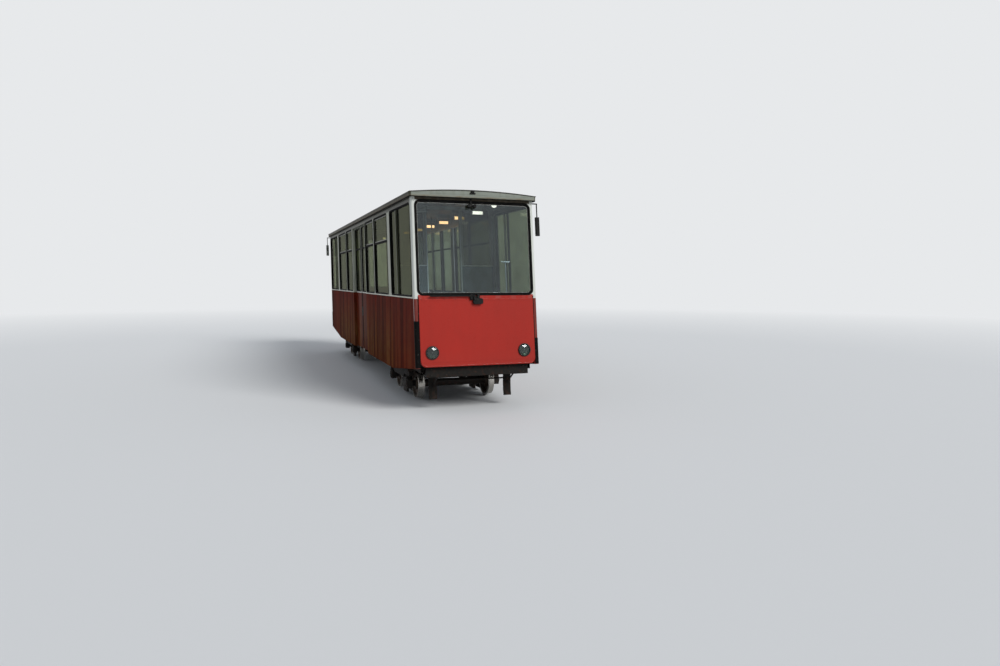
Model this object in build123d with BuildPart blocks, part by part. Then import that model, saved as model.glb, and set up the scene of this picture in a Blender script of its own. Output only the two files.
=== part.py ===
from build123d import *
import os
from math import cos, radians, sin, sqrt, tan

os.makedirs("parts", exist_ok=True)

# Funicular car for a railway on a steady slope. Millimetres, +X to the right looking up the
# track, +Y up the track, +Z square to the rails. The origin lies on the rail tops, midway
# between the rails and midway between the two bogies. Every pillar, door edge and end face
# leans up the track by the rake, so that it is upright when the car stands on the slope.
# A station is a distance along the car, measured from the middle at skirt level.

# Track and wheels
GAUGE = 1435.0
RAIL_HEAD = 72.0
BACK_TO_BACK = 1360.0
WHEEL_RADIUS = 300.0
WHEEL_WIDTH = 135.0
FLANGE_HEIGHT = 28.0
FLANGE_THICK = 32.0
RIM = 52.0
WHEEL_WEB = 26.0
HUB_RADIUS = 122.0
WHEEL_FILLET = 18.0
SEAT_RADIUS = 85.0
AXLE_RADIUS = 75.0
JOURNAL_RADIUS = 60.0
JOURNAL_GAP = 0.08
WHEELBASE = 1600.0
BOGIE_CENTRES = 7500.0

# Body lengths on each side of the middle, and the rake
RAKE = 7.0
DOOR_LEAF = 1060.0
BAY_NEAR_DOOR = 1300.0
BAY_WIDE = 1650.0
CAB_LENGTH = 2350.0
DOOR_POST = 90.0
PILLAR = 140.0
CAB_PILLAR = 320.0
CORNER_POST_DEPTH = 80.0
CORNER_POST_WIDTH = 72.0
CORNER_RADIUS = 35.0
CAB_POST = 60.0

# Body heights and widths
BODY_WIDTH = 2400.0
WALL = 60.0
SKIRT_Z = 590.0
SKIRT_END_Z = 820.0
BELT_Z = 2080.0
SILL_RISE = 35.0
GLASS_TOP_Z = 3850.0
EAVE_Z = 3950.0
WINDOW_RADIUS = 70.0
PANE = 8.0
SEAM = 7.0

# Ends
SCREEN_SILL_Z = 2150.0
SCREEN_TOP_Z = 3885.0
SCREEN_RADIUS = 100.0
SCREEN_SETBACK = 20.0
APRON_BOTTOM_Z = 840.0
APRON_THICK = 50.0
APRON_PROUD = 12.0
APRON_GAP = 8.0
APRON_RADIUS = 110.0
LAMP_X = 900.0
LAMP_Z = 1100.0
BEZEL_RADIUS = 125.0
BEZEL_DEPTH = 24.0
BEZEL_EDGE = 8.0
LENS_RADIUS = 102.0
LENS_DOME = 16.0

# Roof
BAND_HEIGHT = 70.0
BAND_SIDE = 45.0
BAND_END = 90.0
BAND_CORNER = 60.0
ROOF_EDGE = 14.0
CROWN_RISE = 64.0
ROOF_SHELL = 26.0
FASCIA = 40.0

# Doors
LEAF_THICK = 40.0
LEAF_GAP = 8.0
LEAF_LAP = 25.0
LEAF_MEET = 3.0
LEAF_FOOT = 20.0
LEAF_HEAD = 30.0
LEAF_STILE = 110.0
DOOR_TRAVEL = 1000.0
TRACK_THICK = 26.0
TRACK_DROP = 220.0
TRACK_REST = 20.0

# Floor and underframe
FLOOR_Z = 1100.0
DECK = 40.0
RISER = 30.0
SILL_BOTTOM_Z = 720.0
SILL_TOP_Z = 900.0
SILL_WIDTH = 70.0
SILL_WEB = 14.0
INNER_SILL_X = 350.0
FLOOR_WEB = 20.0
BEARER = 80.0
BEARER_BOTTOM_Z = 645.0
HEADSTOCK_SETBACK = 100.0
HEADSTOCK_DEPTH = 90.0
HEADSTOCK_BOTTOM_Z = 640.0
HEADSTOCK_TOP_Z = 830.0
HEADSTOCK_X = 1000.0
BOLSTER_LENGTH = 400.0
PIVOT_RADIUS = 70.0
PIVOT_GAP = 0.08
PIVOT_DEPTH = 120.0
BOWL_TOP_Z = 690.0
BOWL_GAP = 6.0

# Bogies
BEAM_X = 940.0
BEAM_WIDTH = 100.0
BEAM_TOP_Z = 590.0
BEAM_DEPTH = 110.0
BELLY_DEPTH = 190.0
BEAM_END = 1010.0
BEAM_NOSE = 36.0
BELLY_INSET = 238.0
TRANSOM_LENGTH = 340.0
BOWL_RADIUS = 180.0
BOX_HALF = 95.0
BOX_CORNER = 30.0
BOX_COVER = 14.0
POT_RADIUS = 45.0
CALLIPER_WIDTH = 200.0
CALLIPER_HEAD = 110.0
JAW = 50.0
JAW_CLEAR = 25.0

# Fittings inside
PARTITION = 40.0
PARTITION_DOOR = 720.0
PARTITION_FRAME = 80.0
PARTITION_SILL_Z = 2300.0
PARTITION_HEAD_Z = 3950.0
DESK_DEPTH = 520.0
DESK_HEIGHT = 930.0
DESK_FALL = 90.0
DESK_GAP = 20.0
KNEE_DEPTH = 310.0
KNEE_HEIGHT = 650.0
BENCH_WIDTH = 700.0
BENCH_DEPTH = 450.0
BENCH_HEIGHT = 430.0
BENCH_DIP = 25.0
BACK_HEIGHT = 470.0
BACK_LEAN = 95.0
SHELL = 20.0
SHELL_BEND = 80.0
BENCH_INSET = 60.0
FOOT = 30.0
POLE_RADIUS = 17.0
POLE_ROW_X = 520.0
LAMP_ROW_X = 620.0
LAMP_PITCH = 1350.0
LAMPS_IN_ROW = 8
LAMP_LENGTH = 340.0
LAMP_WIDTH = 110.0
LAMP_DEPTH = 90.0
LAMP_CORNER = 36.0
LAMP_TAPER = 8.0

# Fittings outside
WIPER_BOX = (190.0, 110.0, 60.0)
WIPER_CORNER = 36.0
WIPER_REACH = 860.0
WIPER_ARM = 16.0
BLADE = 26.0
MIRROR_OUT = 100.0
MIRROR_SIZE = (85.0, 60.0, 360.0)
MIRROR_BOTTOM_Z = 3280.0
MIRROR_ROD = 11.0
MIRROR_CORNER = 20.0
PACK_SIZE = (1300.0, 1700.0, 300.0)
PACK_CORNER = 30.0
ANCHOR_Z = 400.0
ANCHOR_BORE = 30.0
LUG_THICK = 40.0
LUG_GAP = 80.0
LUG_RADIUS = 75.0
ANCHOR_INSET = 10.0

# Values that follow from the sizes above
SLOPE = tan(radians(RAKE))
LEVEL = sin(radians(RAKE)) * cos(radians(RAKE))
UPRIGHT = (0, sin(radians(RAKE)), cos(radians(RAKE)))
DOOR_BAY = DOOR_LEAF + BAY_NEAR_DOOR
CAB_LINE = DOOR_BAY + BAY_WIDE
HALF = CAB_LINE + CAB_LENGTH
CAB_DECK = CAB_LINE + CAB_PILLAR / 2
WALL_END = HALF - CORNER_POST_DEPTH
SIDE_X = BODY_WIDTH / 2
MIRROR_X = SIDE_X + MIRROR_OUT
INNER_X = SIDE_X - WALL
WALL_X = SIDE_X - WALL / 2
LEAF_X = INNER_X - LEAF_GAP - LEAF_THICK / 2
DECK_EDGE_X = LEAF_X - LEAF_THICK / 2 - LEAF_GAP
POCKET = DOOR_LEAF + DOOR_TRAVEL + 2 * LEAF_LAP
SCREEN_X = SIDE_X - CORNER_POST_WIDTH
BAND_TOP_Z = EAVE_Z + BAND_HEIGHT
ROOF_X = SIDE_X + BAND_SIDE
CEILING_RISE = ROOF_EDGE + CROWN_RISE - ROOF_SHELL
RAIL_X = (GAUGE + RAIL_HEAD) / 2
ENDS = (-1, 1)
SIDES = (-1, 1)
AS_DRAWN = (Align.NONE, Align.NONE)
STANDING = (Align.CENTER, Align.MIN)
HANGING = (Align.CENTER, Align.MAX)


def raked(station, z):
    """Point (y, z) on the upright line through this station."""
    return (station + (z - SKIRT_Z) * SLOPE, z)


def outline(s0, s1, z0, z1):
    """Corners of an upright panel between two stations and two heights."""
    return [raked(s0, z0), raked(s1, z0), raked(s1, z1), raked(s0, z1)]


def end_plane(end, inset=0.0):
    """Plane of an end face, moved in by an inset; local y runs up the face from the belt."""
    y, z = raked(end * (HALF - inset), BELT_Z)
    return Plane(origin=(0, y, z), x_dir=(-end, 0, 0), z_dir=(0, end * UPRIGHT[2], -end * UPRIGHT[1]))


def up_face(z):
    """Height above the belt measured along an end face."""
    return (z - BELT_Z) / UPRIGHT[2]


def inward(end):
    """Direction along the car from an end face to the middle."""
    return (0, -end, 0)


def arch(x, half_width, rise):
    """Height of a circular arch above its springing, at a distance from its middle."""
    radius = (half_width**2 + rise**2) / (2 * rise)
    return rise - radius + sqrt(radius**2 - x**2)


def ceiling_z(x):
    """Height of the roof shell's underside at a distance from the middle."""
    return BAND_TOP_Z + arch(x, INNER_X, CEILING_RISE)


# Lower side panels, one each side of each doorway, swept up under the cabs
SWEEP = HALF - CAB_DECK
WALL_FOOT_Z = SKIRT_Z + (SKIRT_END_Z - SKIRT_Z) * (WALL_END - CAB_DECK) / SWEEP
with BuildPart() as side_panels:
    for side in SIDES:
        for end in ENDS:
            with BuildSketch(Plane.YZ.offset(side * WALL_X)):
                Polygon(
                    raked(end * DOOR_LEAF, SKIRT_Z),
                    raked(end * CAB_DECK, SKIRT_Z),
                    raked(end * WALL_END, WALL_FOOT_Z),
                    raked(end * WALL_END, BELT_Z),
                    raked(end * DOOR_LEAF, BELT_Z),
                    align=AS_DRAWN,
                )
            extrude(amount=WALL / 2, both=True)
            # Upright seams between the outer sheets
            with BuildSketch(Plane.YZ.offset(side * SIDE_X)):
                for seam in (DOOR_BAY, CAB_DECK):
                    Polygon(
                        *outline(end * seam - SEAM / 2, end * seam + SEAM / 2, SKIRT_Z, BELT_Z),
                        align=AS_DRAWN,
                    )
            extrude(amount=-side * SEAM, mode=Mode.SUBTRACT)
side_panels.part.label = "side_panels"
export_step(side_panels.part, "parts/side_panels.step")

# Window bays of one half: first station, last station
WINDOWS = [
    (DOOR_LEAF + DOOR_POST, DOOR_BAY - PILLAR / 2),
    (DOOR_BAY + PILLAR / 2, CAB_LINE),
    (CAB_LINE + CAB_PILLAR, WALL_END - CAB_POST),
]
SIDE_SILL_Z = BELT_Z + SILL_RISE

# Upper side walls with pillars, cantrail, window openings and doorway
with BuildPart() as window_walls:
    for side in SIDES:
        wall_plane = Plane.YZ.offset(side * WALL_X)
        with BuildSketch(wall_plane):
            Polygon(*outline(-WALL_END, WALL_END, BELT_Z, EAVE_Z), align=AS_DRAWN)
            Polygon(
                *outline(-DOOR_LEAF, DOOR_LEAF, BELT_Z, GLASS_TOP_Z),
                align=AS_DRAWN,
                mode=Mode.SUBTRACT,
            )
        extrude(amount=WALL / 2, both=True)
        for first, last in WINDOWS:
            for end in ENDS:
                with BuildSketch(wall_plane) as window:
                    Polygon(
                        *outline(end * first, end * last, SIDE_SILL_Z, GLASS_TOP_Z),
                        align=AS_DRAWN,
                    )
                    fillet(window.vertices(), WINDOW_RADIUS)
                extrude(amount=WALL / 2, both=True, mode=Mode.SUBTRACT)
window_walls.part.label = "window_walls"
export_step(window_walls.part, "parts/window_walls.step")

# End frames: two rounded corner posts, a rail under the windscreen and a header over it
with BuildPart() as end_frames:
    for end in ENDS:
        with BuildSketch(end_plane(end)):
            with Locations((0, up_face(EAVE_Z))):
                Rectangle(BODY_WIDTH, up_face(EAVE_Z) - up_face(SKIRT_END_Z), align=HANGING)
            Rectangle(2 * SCREEN_X, -up_face(SKIRT_END_Z), align=HANGING, mode=Mode.SUBTRACT)
        extrude(amount=CORNER_POST_DEPTH, dir=inward(end))
        with BuildSketch(end_plane(end)) as screen:
            with Locations((0, up_face(SCREEN_SILL_Z))):
                Rectangle(2 * SCREEN_X, up_face(SCREEN_TOP_Z) - up_face(SCREEN_SILL_Z), align=STANDING)
            fillet(screen.vertices(), SCREEN_RADIUS)
        extrude(amount=CORNER_POST_DEPTH, dir=inward(end), mode=Mode.SUBTRACT)
    uprights = end_frames.edges().filter_by(Axis((0, 0, 0), UPRIGHT)).group_by(Axis.X)
    outer = (uprights[0] + uprights[-1]).sort_by(Axis.Y)
    fillet(outer[:2] + outer[-2:], CORNER_RADIUS)
end_frames.part.label = "end_frames"
export_step(end_frames.part, "parts/end_frames.step")

# Windscreens, one broad pane at each end, set back from the face
with BuildPart() as windscreens:
    for end in ENDS:
        with BuildSketch(end_plane(end, SCREEN_SETBACK)) as screen:
            with Locations((0, up_face(SCREEN_SILL_Z))):
                Rectangle(2 * SCREEN_X, up_face(SCREEN_TOP_Z) - up_face(SCREEN_SILL_Z), align=STANDING)
            fillet(screen.vertices(), SCREEN_RADIUS)
        extrude(amount=PANE, dir=inward(end))
windscreens.part.label = "windscreens"
export_step(windscreens.part, "parts/windscreens.step")

# End aprons: the broad panel below each windscreen, a little proud of the posts
with BuildPart() as end_aprons:
    for end in ENDS:
        with BuildSketch(end_plane(end, -APRON_PROUD)) as apron:
            Rectangle(2 * (SCREEN_X - APRON_GAP), -up_face(APRON_BOTTOM_Z), align=HANGING)
            fillet(apron.vertices().group_by(Axis.Y)[0], APRON_RADIUS)
        extrude(amount=APRON_THICK + APRON_PROUD, dir=inward(end))
    # Softened rim round the outer face
    lower_face = end_aprons.faces().sort_by(Axis((0, 0, 0), (0, UPRIGHT[2], -UPRIGHT[1])))[0]
    upper_face = end_aprons.faces().sort_by(Axis((0, 0, 0), (0, UPRIGHT[2], -UPRIGHT[1])))[-1]
    fillet(lower_face.edges() + upper_face.edges(), APRON_PROUD / 2)
end_aprons.part.label = "end_aprons"
export_step(end_aprons.part, "parts/end_aprons.step")

# Headlamp bezels and domed lenses, two at each end low on the apron
LAMPS = [(-LAMP_X, up_face(LAMP_Z)), (LAMP_X, up_face(LAMP_Z))]
with BuildPart() as headlamp_bezels:
    for end in ENDS:
        with BuildSketch(end_plane(end, -APRON_PROUD)):
            with Locations(*LAMPS):
                Circle(BEZEL_RADIUS)
                Circle(LENS_RADIUS, mode=Mode.SUBTRACT)
        extrude(amount=BEZEL_DEPTH)
    circles = headlamp_bezels.edges().filter_by(GeomType.CIRCLE)
    rims = circles.filter_by(lambda edge: edge.radius > (LENS_RADIUS + BEZEL_RADIUS) / 2)
    fillet(rims.sort_by(Axis.Y)[:2] + rims.sort_by(Axis.Y)[-2:], BEZEL_EDGE)
headlamp_bezels.part.label = "headlamp_bezels"
export_step(headlamp_bezels.part, "parts/headlamp_bezels.step")

with BuildPart() as headlamp_lenses:
    for end in ENDS:
        for x, height in LAMPS:
            face = end_plane(end, -APRON_PROUD)
            centre = face.from_local_coords((x, height, 0))
            with BuildSketch(Plane(origin=centre, x_dir=face.x_dir, z_dir=-face.y_dir)):
                with BuildLine():
                    Line((0, 0), (LENS_RADIUS, 0))
                    Line((LENS_RADIUS, 0), (LENS_RADIUS, BEZEL_DEPTH / 2))
                    ThreePointArc(
                        (LENS_RADIUS, BEZEL_DEPTH / 2),
                        (LENS_RADIUS / 2, BEZEL_DEPTH / 2 + arch(LENS_RADIUS / 2, LENS_RADIUS, LENS_DOME)),
                        (0, BEZEL_DEPTH / 2 + LENS_DOME),
                    )
                    Line((0, BEZEL_DEPTH / 2 + LENS_DOME), (0, 0))
                make_face()
            revolve(axis=Axis(centre, face.z_dir))
headlamp_lenses.part.label = "headlamp_lenses"
export_step(headlamp_lenses.part, "parts/headlamp_lenses.step")

# Roof band all round, with an arched fascia over each end that closes the roof's arch
BAND_Y = raked(0, EAVE_Z)[0]
with BuildPart() as roof_band:
    with BuildSketch(Plane.XY.offset(EAVE_Z)):
        with Locations((0, BAND_Y)):
            RectangleRounded(2 * ROOF_X, 2 * (HALF + BAND_END), BAND_CORNER)
            Rectangle(2 * INNER_X, 2 * WALL_END, mode=Mode.SUBTRACT)
    extrude(amount=BAND_HEIGHT / UPRIGHT[2], dir=UPRIGHT)
    for end in ENDS:
        base = end_plane(end, -BAND_END)
        with BuildSketch(base):
            with BuildLine():
                foot = up_face(BAND_TOP_Z)
                Line((-INNER_X, foot), (INNER_X, foot))
                ThreePointArc((INNER_X, foot), (0, foot + CEILING_RISE / UPRIGHT[2]), (-INNER_X, foot))
            make_face()
        extrude(amount=FASCIA, dir=inward(end))
roof_band.part.label = "roof_band"
export_step(roof_band.part, "parts/roof_band.step")

# Roof shell, a low arch from end to end on the band
with BuildPart() as roof_shell:
    with BuildSketch(end_plane(-1, -BAND_END)):
        with BuildLine():
            foot = up_face(BAND_TOP_Z)
            edge = up_face(BAND_TOP_Z + ROOF_EDGE)
            crown = up_face(BAND_TOP_Z + ROOF_EDGE + CROWN_RISE)
            Line((-ROOF_X, foot), (-ROOF_X, edge))
            ThreePointArc((-ROOF_X, edge), (0, crown), (ROOF_X, edge))
            Line((ROOF_X, edge), (ROOF_X, foot))
            Line((ROOF_X, foot), (INNER_X, foot))
            ThreePointArc((INNER_X, foot), (0, foot + CEILING_RISE / UPRIGHT[2]), (-INNER_X, foot))
            Line((-INNER_X, foot), (-ROOF_X, foot))
        make_face()
    extrude(amount=2 * (HALF + BAND_END), dir=(0, 1, 0))
roof_shell.part.label = "roof_shell"
export_step(roof_shell.part, "parts/roof_shell.step")

# Decks from the lower to the upper end: first station, last station
DECKS = {
    "lower_cab": (-WALL_END, -CAB_DECK),
    "lower_seats": (-CAB_DECK, -DOOR_BAY),
    "lower_step": (-DOOR_BAY, -DOOR_LEAF),
    "doorway": (-DOOR_LEAF, DOOR_LEAF),
    "upper_step": (DOOR_LEAF, DOOR_BAY),
    "upper_seats": (DOOR_BAY, CAB_DECK),
    "upper_cab": (CAB_DECK, WALL_END),
}


def deck_z(station, deck):
    """Height of a deck's top at a station; each deck is level on the slope."""
    return FLOOR_Z - (station - sum(DECKS[deck]) / 2) * LEVEL


def deck_plane(deck, station, way=1, x=0.0):
    """Upright plane on a deck; local x runs along the deck the given way, local y up."""
    y, z = raked(station, deck_z(station, deck))
    return Plane(origin=(x, y, z), x_dir=(0, way * UPRIGHT[2], -way * UPRIGHT[1]), z_dir=(way, 0, 0))


# Top side and underside of the stepped floor, from the lower to the upper end
TOPSIDE = []
UNDERSIDE = []
for deck, (first, last) in DECKS.items():
    TOPSIDE.append(raked(first, deck_z(first, deck)))
    TOPSIDE.append(raked(last, deck_z(last, deck)))
    under_first = first if first == -WALL_END else first + RISER
    under_last = last if last == WALL_END else last + RISER
    UNDERSIDE.append(raked(under_first, deck_z(under_first, deck) - DECK))
    UNDERSIDE.append(raked(under_last, deck_z(under_last, deck) - DECK))

# Stepped floor: level decks with upright risers, notched where the door leaves run
with BuildPart() as floor_decks:
    with BuildSketch(Plane.YZ):
        Polygon(*TOPSIDE, *reversed(UNDERSIDE), align=AS_DRAWN)
    extrude(amount=INNER_X, both=True)
    for side in SIDES:
        with BuildSketch(Plane.YZ.offset(side * (INNER_X + DECK_EDGE_X) / 2)):
            Polygon(*outline(-POCKET, POCKET, SILL_BOTTOM_Z, BELT_Z), align=AS_DRAWN)
        extrude(amount=(INNER_X - DECK_EDGE_X) / 2, both=True, mode=Mode.SUBTRACT)
floor_decks.part.label = "floor_decks"
export_step(floor_decks.part, "parts/floor_decks.step")

# Bogies: name, place of the centre along the track
BOGIES = [("lower", -BOGIE_CENTRES / 2), ("upper", BOGIE_CENTRES / 2)]
BOLSTER_BOTTOM_Z = BOWL_TOP_Z + BOWL_GAP

# Sole bars: four channels from headstock to headstock, each with a stepped web up to the floor
SILL_X = DECK_EDGE_X - SILL_WIDTH / 2
FRAME_END = HALF - HEADSTOCK_SETBACK - HEADSTOCK_DEPTH
WEB_FOOT_Z = SILL_TOP_Z - SILL_WEB
with BuildPart() as sole_bars:
    for x in (-SILL_X, -INNER_SILL_X, INNER_SILL_X, SILL_X):
        with BuildSketch(Plane.YZ.offset(x)):
            Polygon(*outline(-FRAME_END, FRAME_END, SILL_BOTTOM_Z, SILL_TOP_Z), align=AS_DRAWN)
        extrude(amount=SILL_WIDTH / 2, both=True)
        # The channel is open towards the middle of the car
        hollow_x = x - SILL_WEB / 2 if x > 0 else x + SILL_WEB / 2
        with BuildSketch(Plane.YZ.offset(hollow_x)):
            Polygon(
                *outline(-FRAME_END, FRAME_END, SILL_BOTTOM_Z + SILL_WEB, WEB_FOOT_Z),
                align=AS_DRAWN,
            )
        extrude(amount=(SILL_WIDTH - SILL_WEB) / 2, both=True, mode=Mode.SUBTRACT)
        with BuildSketch(Plane.YZ.offset(x)):
            Polygon(
                raked(-FRAME_END, WEB_FOOT_Z),
                *UNDERSIDE,
                raked(FRAME_END, WEB_FOOT_Z),
                align=AS_DRAWN,
            )
        extrude(amount=FLOOR_WEB / 2, both=True)
    # Gaps for the bolsters
    for name, y in BOGIES:
        with BuildSketch(Plane.XY.offset(BOLSTER_BOTTOM_Z)):
            with Locations((0, y)):
                Rectangle(BODY_WIDTH, BOLSTER_LENGTH)
        extrude(amount=SILL_TOP_Z - BOLSTER_BOTTOM_Z, mode=Mode.SUBTRACT)
sole_bars.part.label = "sole_bars"
export_step(sole_bars.part, "parts/sole_bars.step")

# Cross beams: a headstock at each end, bolsters with pivot pins, and bearers under the sole bars
BEARERS = [0.0, DOOR_LEAF, DOOR_BAY, CAB_DECK + BEARER, (CAB_DECK + HALF) / 2]
with BuildPart() as cross_beams:
    for end in ENDS:
        back = end * FRAME_END
        front = end * (HALF - HEADSTOCK_SETBACK)
        with BuildSketch(Plane.YZ):
            Polygon(*outline(back, front, HEADSTOCK_BOTTOM_Z, HEADSTOCK_TOP_Z), align=AS_DRAWN)
        extrude(amount=HEADSTOCK_X, both=True)
    for name, y in BOGIES:
        with BuildSketch(Plane.XY.offset(BOLSTER_BOTTOM_Z)):
            with Locations((0, y)):
                Rectangle(2 * SILL_X + SILL_WIDTH, BOLSTER_LENGTH)
        extrude(amount=SILL_TOP_Z - BOLSTER_BOTTOM_Z)
        with BuildSketch(Plane.XY.offset(BOLSTER_BOTTOM_Z)):
            with Locations((0, y)):
                Circle(PIVOT_RADIUS)
        extrude(amount=-PIVOT_DEPTH)
    for station in [-s for s in BEARERS[1:]] + BEARERS:
        with BuildSketch(Plane.YZ):
            Polygon(
                *outline(station - BEARER / 2, station + BEARER / 2, BEARER_BOTTOM_Z, SILL_BOTTOM_Z),
                align=AS_DRAWN,
            )
        extrude(amount=SILL_X if abs(station) < POCKET + BEARER else INNER_X, both=True)
cross_beams.part.label = "cross_beams"
export_step(cross_beams.part, "parts/cross_beams.step")

# Cab partitions: deck that each stands on, station of its lower face
PARTITIONS = [("lower_seats", -CAB_DECK), ("upper_cab", CAB_DECK)]
LIGHT = INNER_X - PARTITION_DOOR / 2 - 2 * PARTITION_FRAME
LIGHT_X = PARTITION_DOOR / 2 + PARTITION_FRAME + LIGHT / 2
with BuildPart() as cab_partitions:
    for deck, station in PARTITIONS:
        y, z = raked(station, BELT_Z)
        floor = up_face(deck_z(station, deck))
        with BuildSketch(Plane(origin=(0, y, z), x_dir=(1, 0, 0), z_dir=(0, -UPRIGHT[2], UPRIGHT[1]))):
            with Locations((0, floor)):
                Rectangle(2 * INNER_X, up_face(BAND_TOP_Z) - floor, align=STANDING)
                Rectangle(PARTITION_DOOR, up_face(PARTITION_HEAD_Z) - floor, align=STANDING, mode=Mode.SUBTRACT)
            with Locations((-LIGHT_X, up_face(PARTITION_SILL_Z)), (LIGHT_X, up_face(PARTITION_SILL_Z))):
                Rectangle(
                    LIGHT,
                    up_face(PARTITION_HEAD_Z) - up_face(PARTITION_SILL_Z),
                    align=STANDING,
                    mode=Mode.SUBTRACT,
                )
        extrude(amount=PARTITION, dir=(0, 1, 0))
cab_partitions.part.label = "cab_partitions"
export_step(cab_partitions.part, "parts/cab_partitions.step")

# Panes of the side windows and the partitions, set in the middle of their walls
with BuildPart() as window_panes:
    for side in SIDES:
        for first, last in WINDOWS:
            for end in ENDS:
                with BuildSketch(Plane.YZ.offset(side * WALL_X)) as pane:
                    Polygon(
                        *outline(end * first, end * last, SIDE_SILL_Z, GLASS_TOP_Z),
                        align=AS_DRAWN,
                    )
                    fillet(pane.vertices(), WINDOW_RADIUS)
                extrude(amount=PANE / 2, both=True)
    for deck, station in PARTITIONS:
        y, z = raked(station + (PARTITION - PANE) / 2, BELT_Z)
        with BuildSketch(Plane(origin=(0, y, z), x_dir=(1, 0, 0), z_dir=(0, -UPRIGHT[2], UPRIGHT[1]))):
            with Locations((-LIGHT_X, up_face(PARTITION_SILL_Z)), (LIGHT_X, up_face(PARTITION_SILL_Z))):
                Rectangle(LIGHT, up_face(PARTITION_HEAD_Z) - up_face(PARTITION_SILL_Z), align=STANDING)
        extrude(amount=PANE, dir=(0, 1, 0))
window_panes.part.label = "window_panes"
export_step(window_panes.part, "parts/window_panes.step")

# Driver's desks across each cab, under the windscreen: deck, end of the car
with BuildPart() as driver_desks:
    for deck, end in (("lower_cab", -1), ("upper_cab", 1)):
        front = end * (WALL_END - APRON_PROUD)
        with BuildSketch(deck_plane(deck, front, way=-end)) as desk:
            Polygon(
                (0, 0),
                (KNEE_DEPTH, 0),
                (KNEE_DEPTH, KNEE_HEIGHT),
                (DESK_DEPTH, DESK_HEIGHT - DESK_FALL - SHELL),
                (DESK_DEPTH, DESK_HEIGHT - DESK_FALL),
                (0, DESK_HEIGHT),
                align=AS_DRAWN,
            )
        extrude(amount=INNER_X - DESK_GAP, both=True)
driver_desks.part.label = "driver_desks"
export_step(driver_desks.part, "parts/driver_desks.step")

# Moulded benches, seat and back in one with a foot near each side: deck, station of the
# back's rear face, way it faces along the car
SEATS_FIRST, SEATS_LAST = DECKS["upper_seats"]
BENCHES = [
    ("lower_seats", -SEATS_LAST + PARTITION + BENCH_INSET, 1),
    ("lower_seats", -SEATS_FIRST - BENCH_INSET, -1),
    ("upper_seats", SEATS_FIRST + RISER + BENCH_INSET, 1),
    ("upper_seats", SEATS_LAST - BENCH_INSET, -1),
]
BENCH_X = DECK_EDGE_X - DESK_GAP - BENCH_WIDTH / 2
CROOK_Z = BENCH_HEIGHT - BENCH_DIP
FOOT_REAR = BACK_LEAN + SHELL_BEND + SHELL
FOOT_FRONT = BENCH_DEPTH - SHELL_BEND
with BuildPart() as benches:
    for side in SIDES:
        for deck, station, way in BENCHES:
            with BuildSketch(deck_plane(deck, station, way, side * BENCH_X)) as shell:
                Polygon(
                    (BENCH_DEPTH, BENCH_HEIGHT),
                    (BACK_LEAN + SHELL, CROOK_Z),
                    (SHELL, BENCH_HEIGHT + BACK_HEIGHT),
                    (0, BENCH_HEIGHT + BACK_HEIGHT),
                    (BACK_LEAN, CROOK_Z - SHELL),
                    (BENCH_DEPTH, BENCH_HEIGHT - SHELL),
                    align=AS_DRAWN,
                )
                inner_bend = shell.vertices().sort_by_distance((BACK_LEAN + SHELL, CROOK_Z))[0]
                fillet(inner_bend, SHELL_BEND)
                outer_bend = shell.vertices().sort_by_distance((BACK_LEAN, CROOK_Z - SHELL))[0]
                fillet(outer_bend, SHELL_BEND + SHELL)
            extrude(amount=BENCH_WIDTH / 2, both=True)
            for across in (-BENCH_WIDTH / 3, BENCH_WIDTH / 3):
                with BuildSketch(deck_plane(deck, station, way, side * BENCH_X + across)):
                    Polygon(
                        (FOOT_REAR, 0),
                        (FOOT_FRONT - FOOT, 0),
                        (FOOT_FRONT, CROOK_Z),
                        (FOOT_REAR - FOOT, CROOK_Z - SHELL / 2),
                        align=AS_DRAWN,
                    )
                extrude(amount=FOOT / 2, both=True)
benches.part.label = "benches"
export_step(benches.part, "parts/benches.step")

# Grab poles: deck, station, distance from the middle
POLES = [
    ("lower_step", -DOOR_LEAF - PILLAR, -POLE_ROW_X),
    ("lower_step", -DOOR_LEAF - PILLAR, POLE_ROW_X),
    ("doorway", 0.0, 0.0),
    ("upper_step", DOOR_LEAF + PILLAR, -POLE_ROW_X),
    ("upper_step", DOOR_LEAF + PILLAR, POLE_ROW_X),
]
with BuildPart() as grab_poles:
    for deck, station, x in POLES:
        foot_y, foot_z = raked(station, deck_z(station, deck))
        with BuildSketch(Plane(origin=(x, foot_y, foot_z), x_dir=(1, 0, 0), z_dir=UPRIGHT)):
            Circle(POLE_RADIUS)
        top = ceiling_z(abs(x) + POLE_RADIUS) - POLE_RADIUS * SLOPE
        extrude(amount=(top - foot_z) / UPRIGHT[2])
grab_poles.part.label = "grab_poles"
export_step(grab_poles.part, "parts/grab_poles.step")

# Ceiling lamps, two rows of bars across the roof
LAMP_TOP_Z = ceiling_z(LAMP_ROW_X + LAMP_LENGTH / 2)
with BuildPart() as ceiling_lamps:
    with BuildSketch(Plane.XY.offset(LAMP_TOP_Z)):
        with Locations((0, raked(0, LAMP_TOP_Z)[0])):
            with GridLocations(2 * LAMP_ROW_X, LAMP_PITCH, 2, LAMPS_IN_ROW):
                RectangleRounded(LAMP_LENGTH, LAMP_WIDTH, LAMP_CORNER)
    extrude(amount=-LAMP_DEPTH, taper=LAMP_TAPER)
ceiling_lamps.part.label = "ceiling_lamps"
export_step(ceiling_lamps.part, "parts/ceiling_lamps.step")

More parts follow.
